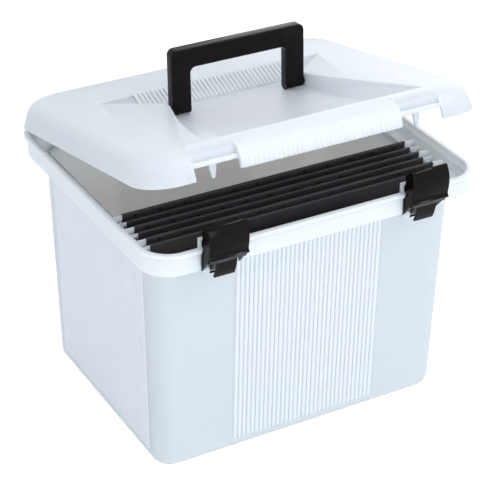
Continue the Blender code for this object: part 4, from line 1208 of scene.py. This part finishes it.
def make_rod(name, body, y, flap_top, coat, bare, node):
    top = flap_top - FOLDER_CARD - ROD_CLEAR
    seat = RAIL_TOP_Z + ROD_SEAT_GAP
    foot = top - ROD_HIGH
    tip = ROD_HALF - ROD_TIP_LONG
    inner = MOUTH_HALF_X - RAIL_THICK - ROD_TIP_DROP
    joint = FOLDER_HALF - OVERRUN
    near, far = y - ROD_THICK / 2, y + ROD_THICK / 2
    tips = bmesh.new()
    for side in (-1, 1):
        outline = [(joint, foot), (inner, foot), (inner, seat), (tip, seat), (tip, seat - ROD_TIP_DROP),
                   (ROD_HALF, seat - ROD_TIP_DROP), (ROD_HALF, top - ROD_TIP_DROP),
                   (ROD_HALF - ROD_TIP_DROP, top), (joint, top)]
        add_prism(tips, [(side * x, z) for x, z in outline], near, far, "Y")
    strip = bmesh.new()
    add_block(strip, (-joint, near, foot), (joint, far, top))
    for part, bm, finish, nodes in (("_tips", tips, coat, (node,)), ("_strip", strip, bare, ())):
        obj = new_object(name + part, bm, finish)
        soften(obj, ROD_EDGE, ROD_EDGE_STEPS, EDGE_ANGLE_DEG)
        shade(obj)
        fit_out(obj, body, "coated_steel", *nodes)


def make_folders():
    stock, coat, bare = card(), white_coat(), steel()
    for name, front_share, rear_share in zip(FOLDER_NAMES, FOLDER_FRONT_SHARES, FOLDER_REAR_SHARES):
        front_y = MOUTH_HALF_Y * front_share
        rear_y = MOUTH_HALF_Y * rear_share
        make_folder(name, front_y, rear_y, stock)
        make_rod(name + "_front", name, front_y, FOLDER_FRONT_TOP_Z, coat, bare, name + "_front_rod")
        make_rod(name + "_rear", name, rear_y, FOLDER_REAR_TOP_Z, coat, bare, name + "_rear_rod")


def set_camera():
    data = bpy.data.cameras.new("photo_view")
    data.sensor_width = SENSOR_MM
    data.sensor_fit = "HORIZONTAL"
    data.lens = FOCAL_PX * SENSOR_MM / PHOTO_WIDTH
    data.clip_start = CAMERA_NEAR
    data.clip_end = CAMERA_FAR
    camera = bpy.data.objects.new("photo_view", data)
    bpy.context.scene.collection.objects.link(camera)
    aim = (Matrix.Rotation(math.radians(CAMERA_YAW), 4, "Z")
           @ Matrix.Rotation(math.radians(90.0 - CAMERA_PITCH), 4, "X")
           @ Matrix.Rotation(math.radians(CAMERA_ROLL), 4, "Z"))
    camera.matrix_world = Matrix.Translation(CAMERA_PLACE) @ aim
    bpy.context.scene.camera = camera


def add_lamp(name, place, target, size, power, colour):
    data = bpy.data.lights.new(name, "AREA")
    data.shape = "RECTANGLE"
    data.size = size[0]
    data.size_y = size[1]
    data.energy = power
    data.color = colour
    lamp = bpy.data.objects.new(name, data)
    bpy.context.scene.collection.objects.link(lamp)
    lamp.location = place
    lamp.rotation_euler = (Vector(target) - Vector(place)).to_track_quat("-Z", "Y").to_euler()


def set_world():
    """Soft light for the pieces, and plain white for what the camera, gloss and glass see."""
    world = bpy.data.worlds.new("white_studio")
    bpy.context.scene.world = world
    world.use_nodes = True
    nodes, links = world.node_tree.nodes, world.node_tree.links
    nodes.clear()
    out = nodes.new("ShaderNodeOutputWorld")
    soft = nodes.new("ShaderNodeBackground")
    soft.inputs["Color"].default_value = SOFT_LIGHT
    soft.inputs["Strength"].default_value = SOFT_LIGHT_LEVEL
    plain = nodes.new("ShaderNodeBackground")
    plain.inputs["Color"].default_value = WHITE
    plain.inputs["Strength"].default_value = 1.0
    path = nodes.new("ShaderNodeLightPath")
    seen = nodes.new("ShaderNodeMath")
    seen.operation = "MAXIMUM"
    direct = nodes.new("ShaderNodeMath")
    direct.operation = "MAXIMUM"
    mix = nodes.new("ShaderNodeMixShader")
    links.new(path.outputs["Is Camera Ray"], seen.inputs[0])
    links.new(path.outputs["Is Glossy Ray"], seen.inputs[1])
    links.new(seen.outputs[0], direct.inputs[0])
    links.new(path.outputs["Is Transmission Ray"], direct.inputs[1])
    links.new(direct.outputs[0], mix.inputs["Fac"])
    links.new(soft.outputs[0], mix.inputs[1])
    links.new(plain.outputs[0], mix.inputs[2])
    links.new(mix.outputs[0], out.inputs["Surface"])


def make_floor():
    bm = bmesh.new()
    corners = []
    for x, y in ((-1, -1), (1, -1), (1, 1), (-1, 1)):
        corners.append(bm.verts.new((x * FLOOR_REACH, y * FLOOR_REACH, -FLOOR_DOWN)))
    bm.faces.new(corners)
    material = bpy.data.materials.new("pale_floor")
    material.use_nodes = True
    nodes, links = material.node_tree.nodes, material.node_tree.links
    nodes.clear()
    out = nodes.new("ShaderNodeOutputMaterial")
    diffuse = nodes.new("ShaderNodeBsdfDiffuse")
    diffuse.inputs["Color"].default_value = FLOOR_COLOUR
    lift = nodes.new("ShaderNodeEmission")
    lift.inputs["Color"].default_value = WHITE
    path = nodes.new("ShaderNodeLightPath")
    scale = nodes.new("ShaderNodeMath")
    scale.operation = "MULTIPLY"
    scale.inputs[1].default_value = FLOOR_LIFT
    add = nodes.new("ShaderNodeAddShader")
    links.new(path.outputs["Is Camera Ray"], scale.inputs[0])
    links.new(scale.outputs[0], lift.inputs["Strength"])
    links.new(diffuse.outputs[0], add.inputs[0])
    links.new(lift.outputs[0], add.inputs[1])
    links.new(add.outputs[0], out.inputs["Surface"])
    floor = new_object("studio_floor", bm, material)


def main():
    bpy.context.scene.view_settings.view_transform = "Standard"
    set_camera()
    set_world()
    make_floor()
    for lamp in LAMPS:
        add_lamp(*lamp)
    tub_plastic = frosted_plastic(*TUB_PLASTIC)
    lid_plastic = frosted_plastic(*LID_PLASTIC)
    rib_plastic = frosted_plastic(*RIB_PLASTIC)
    lid_rib_plastic = frosted_plastic(*LID_RIB_PLASTIC)
    row = repeat_tree()
    make_tub(tub_plastic, row)
    make_wall_ribs(row, rib_plastic)
    make_lid(lid_plastic)
    make_lid_ribs(row, lid_rib_plastic)
    black = black_plastic()
    make_handle(black)
    make_latch("left_latch_clip", -LATCH_X, black, "latch_left")
    make_latch("right_latch_clip", LATCH_X, black, "latch_right")
    make_folders()


main()
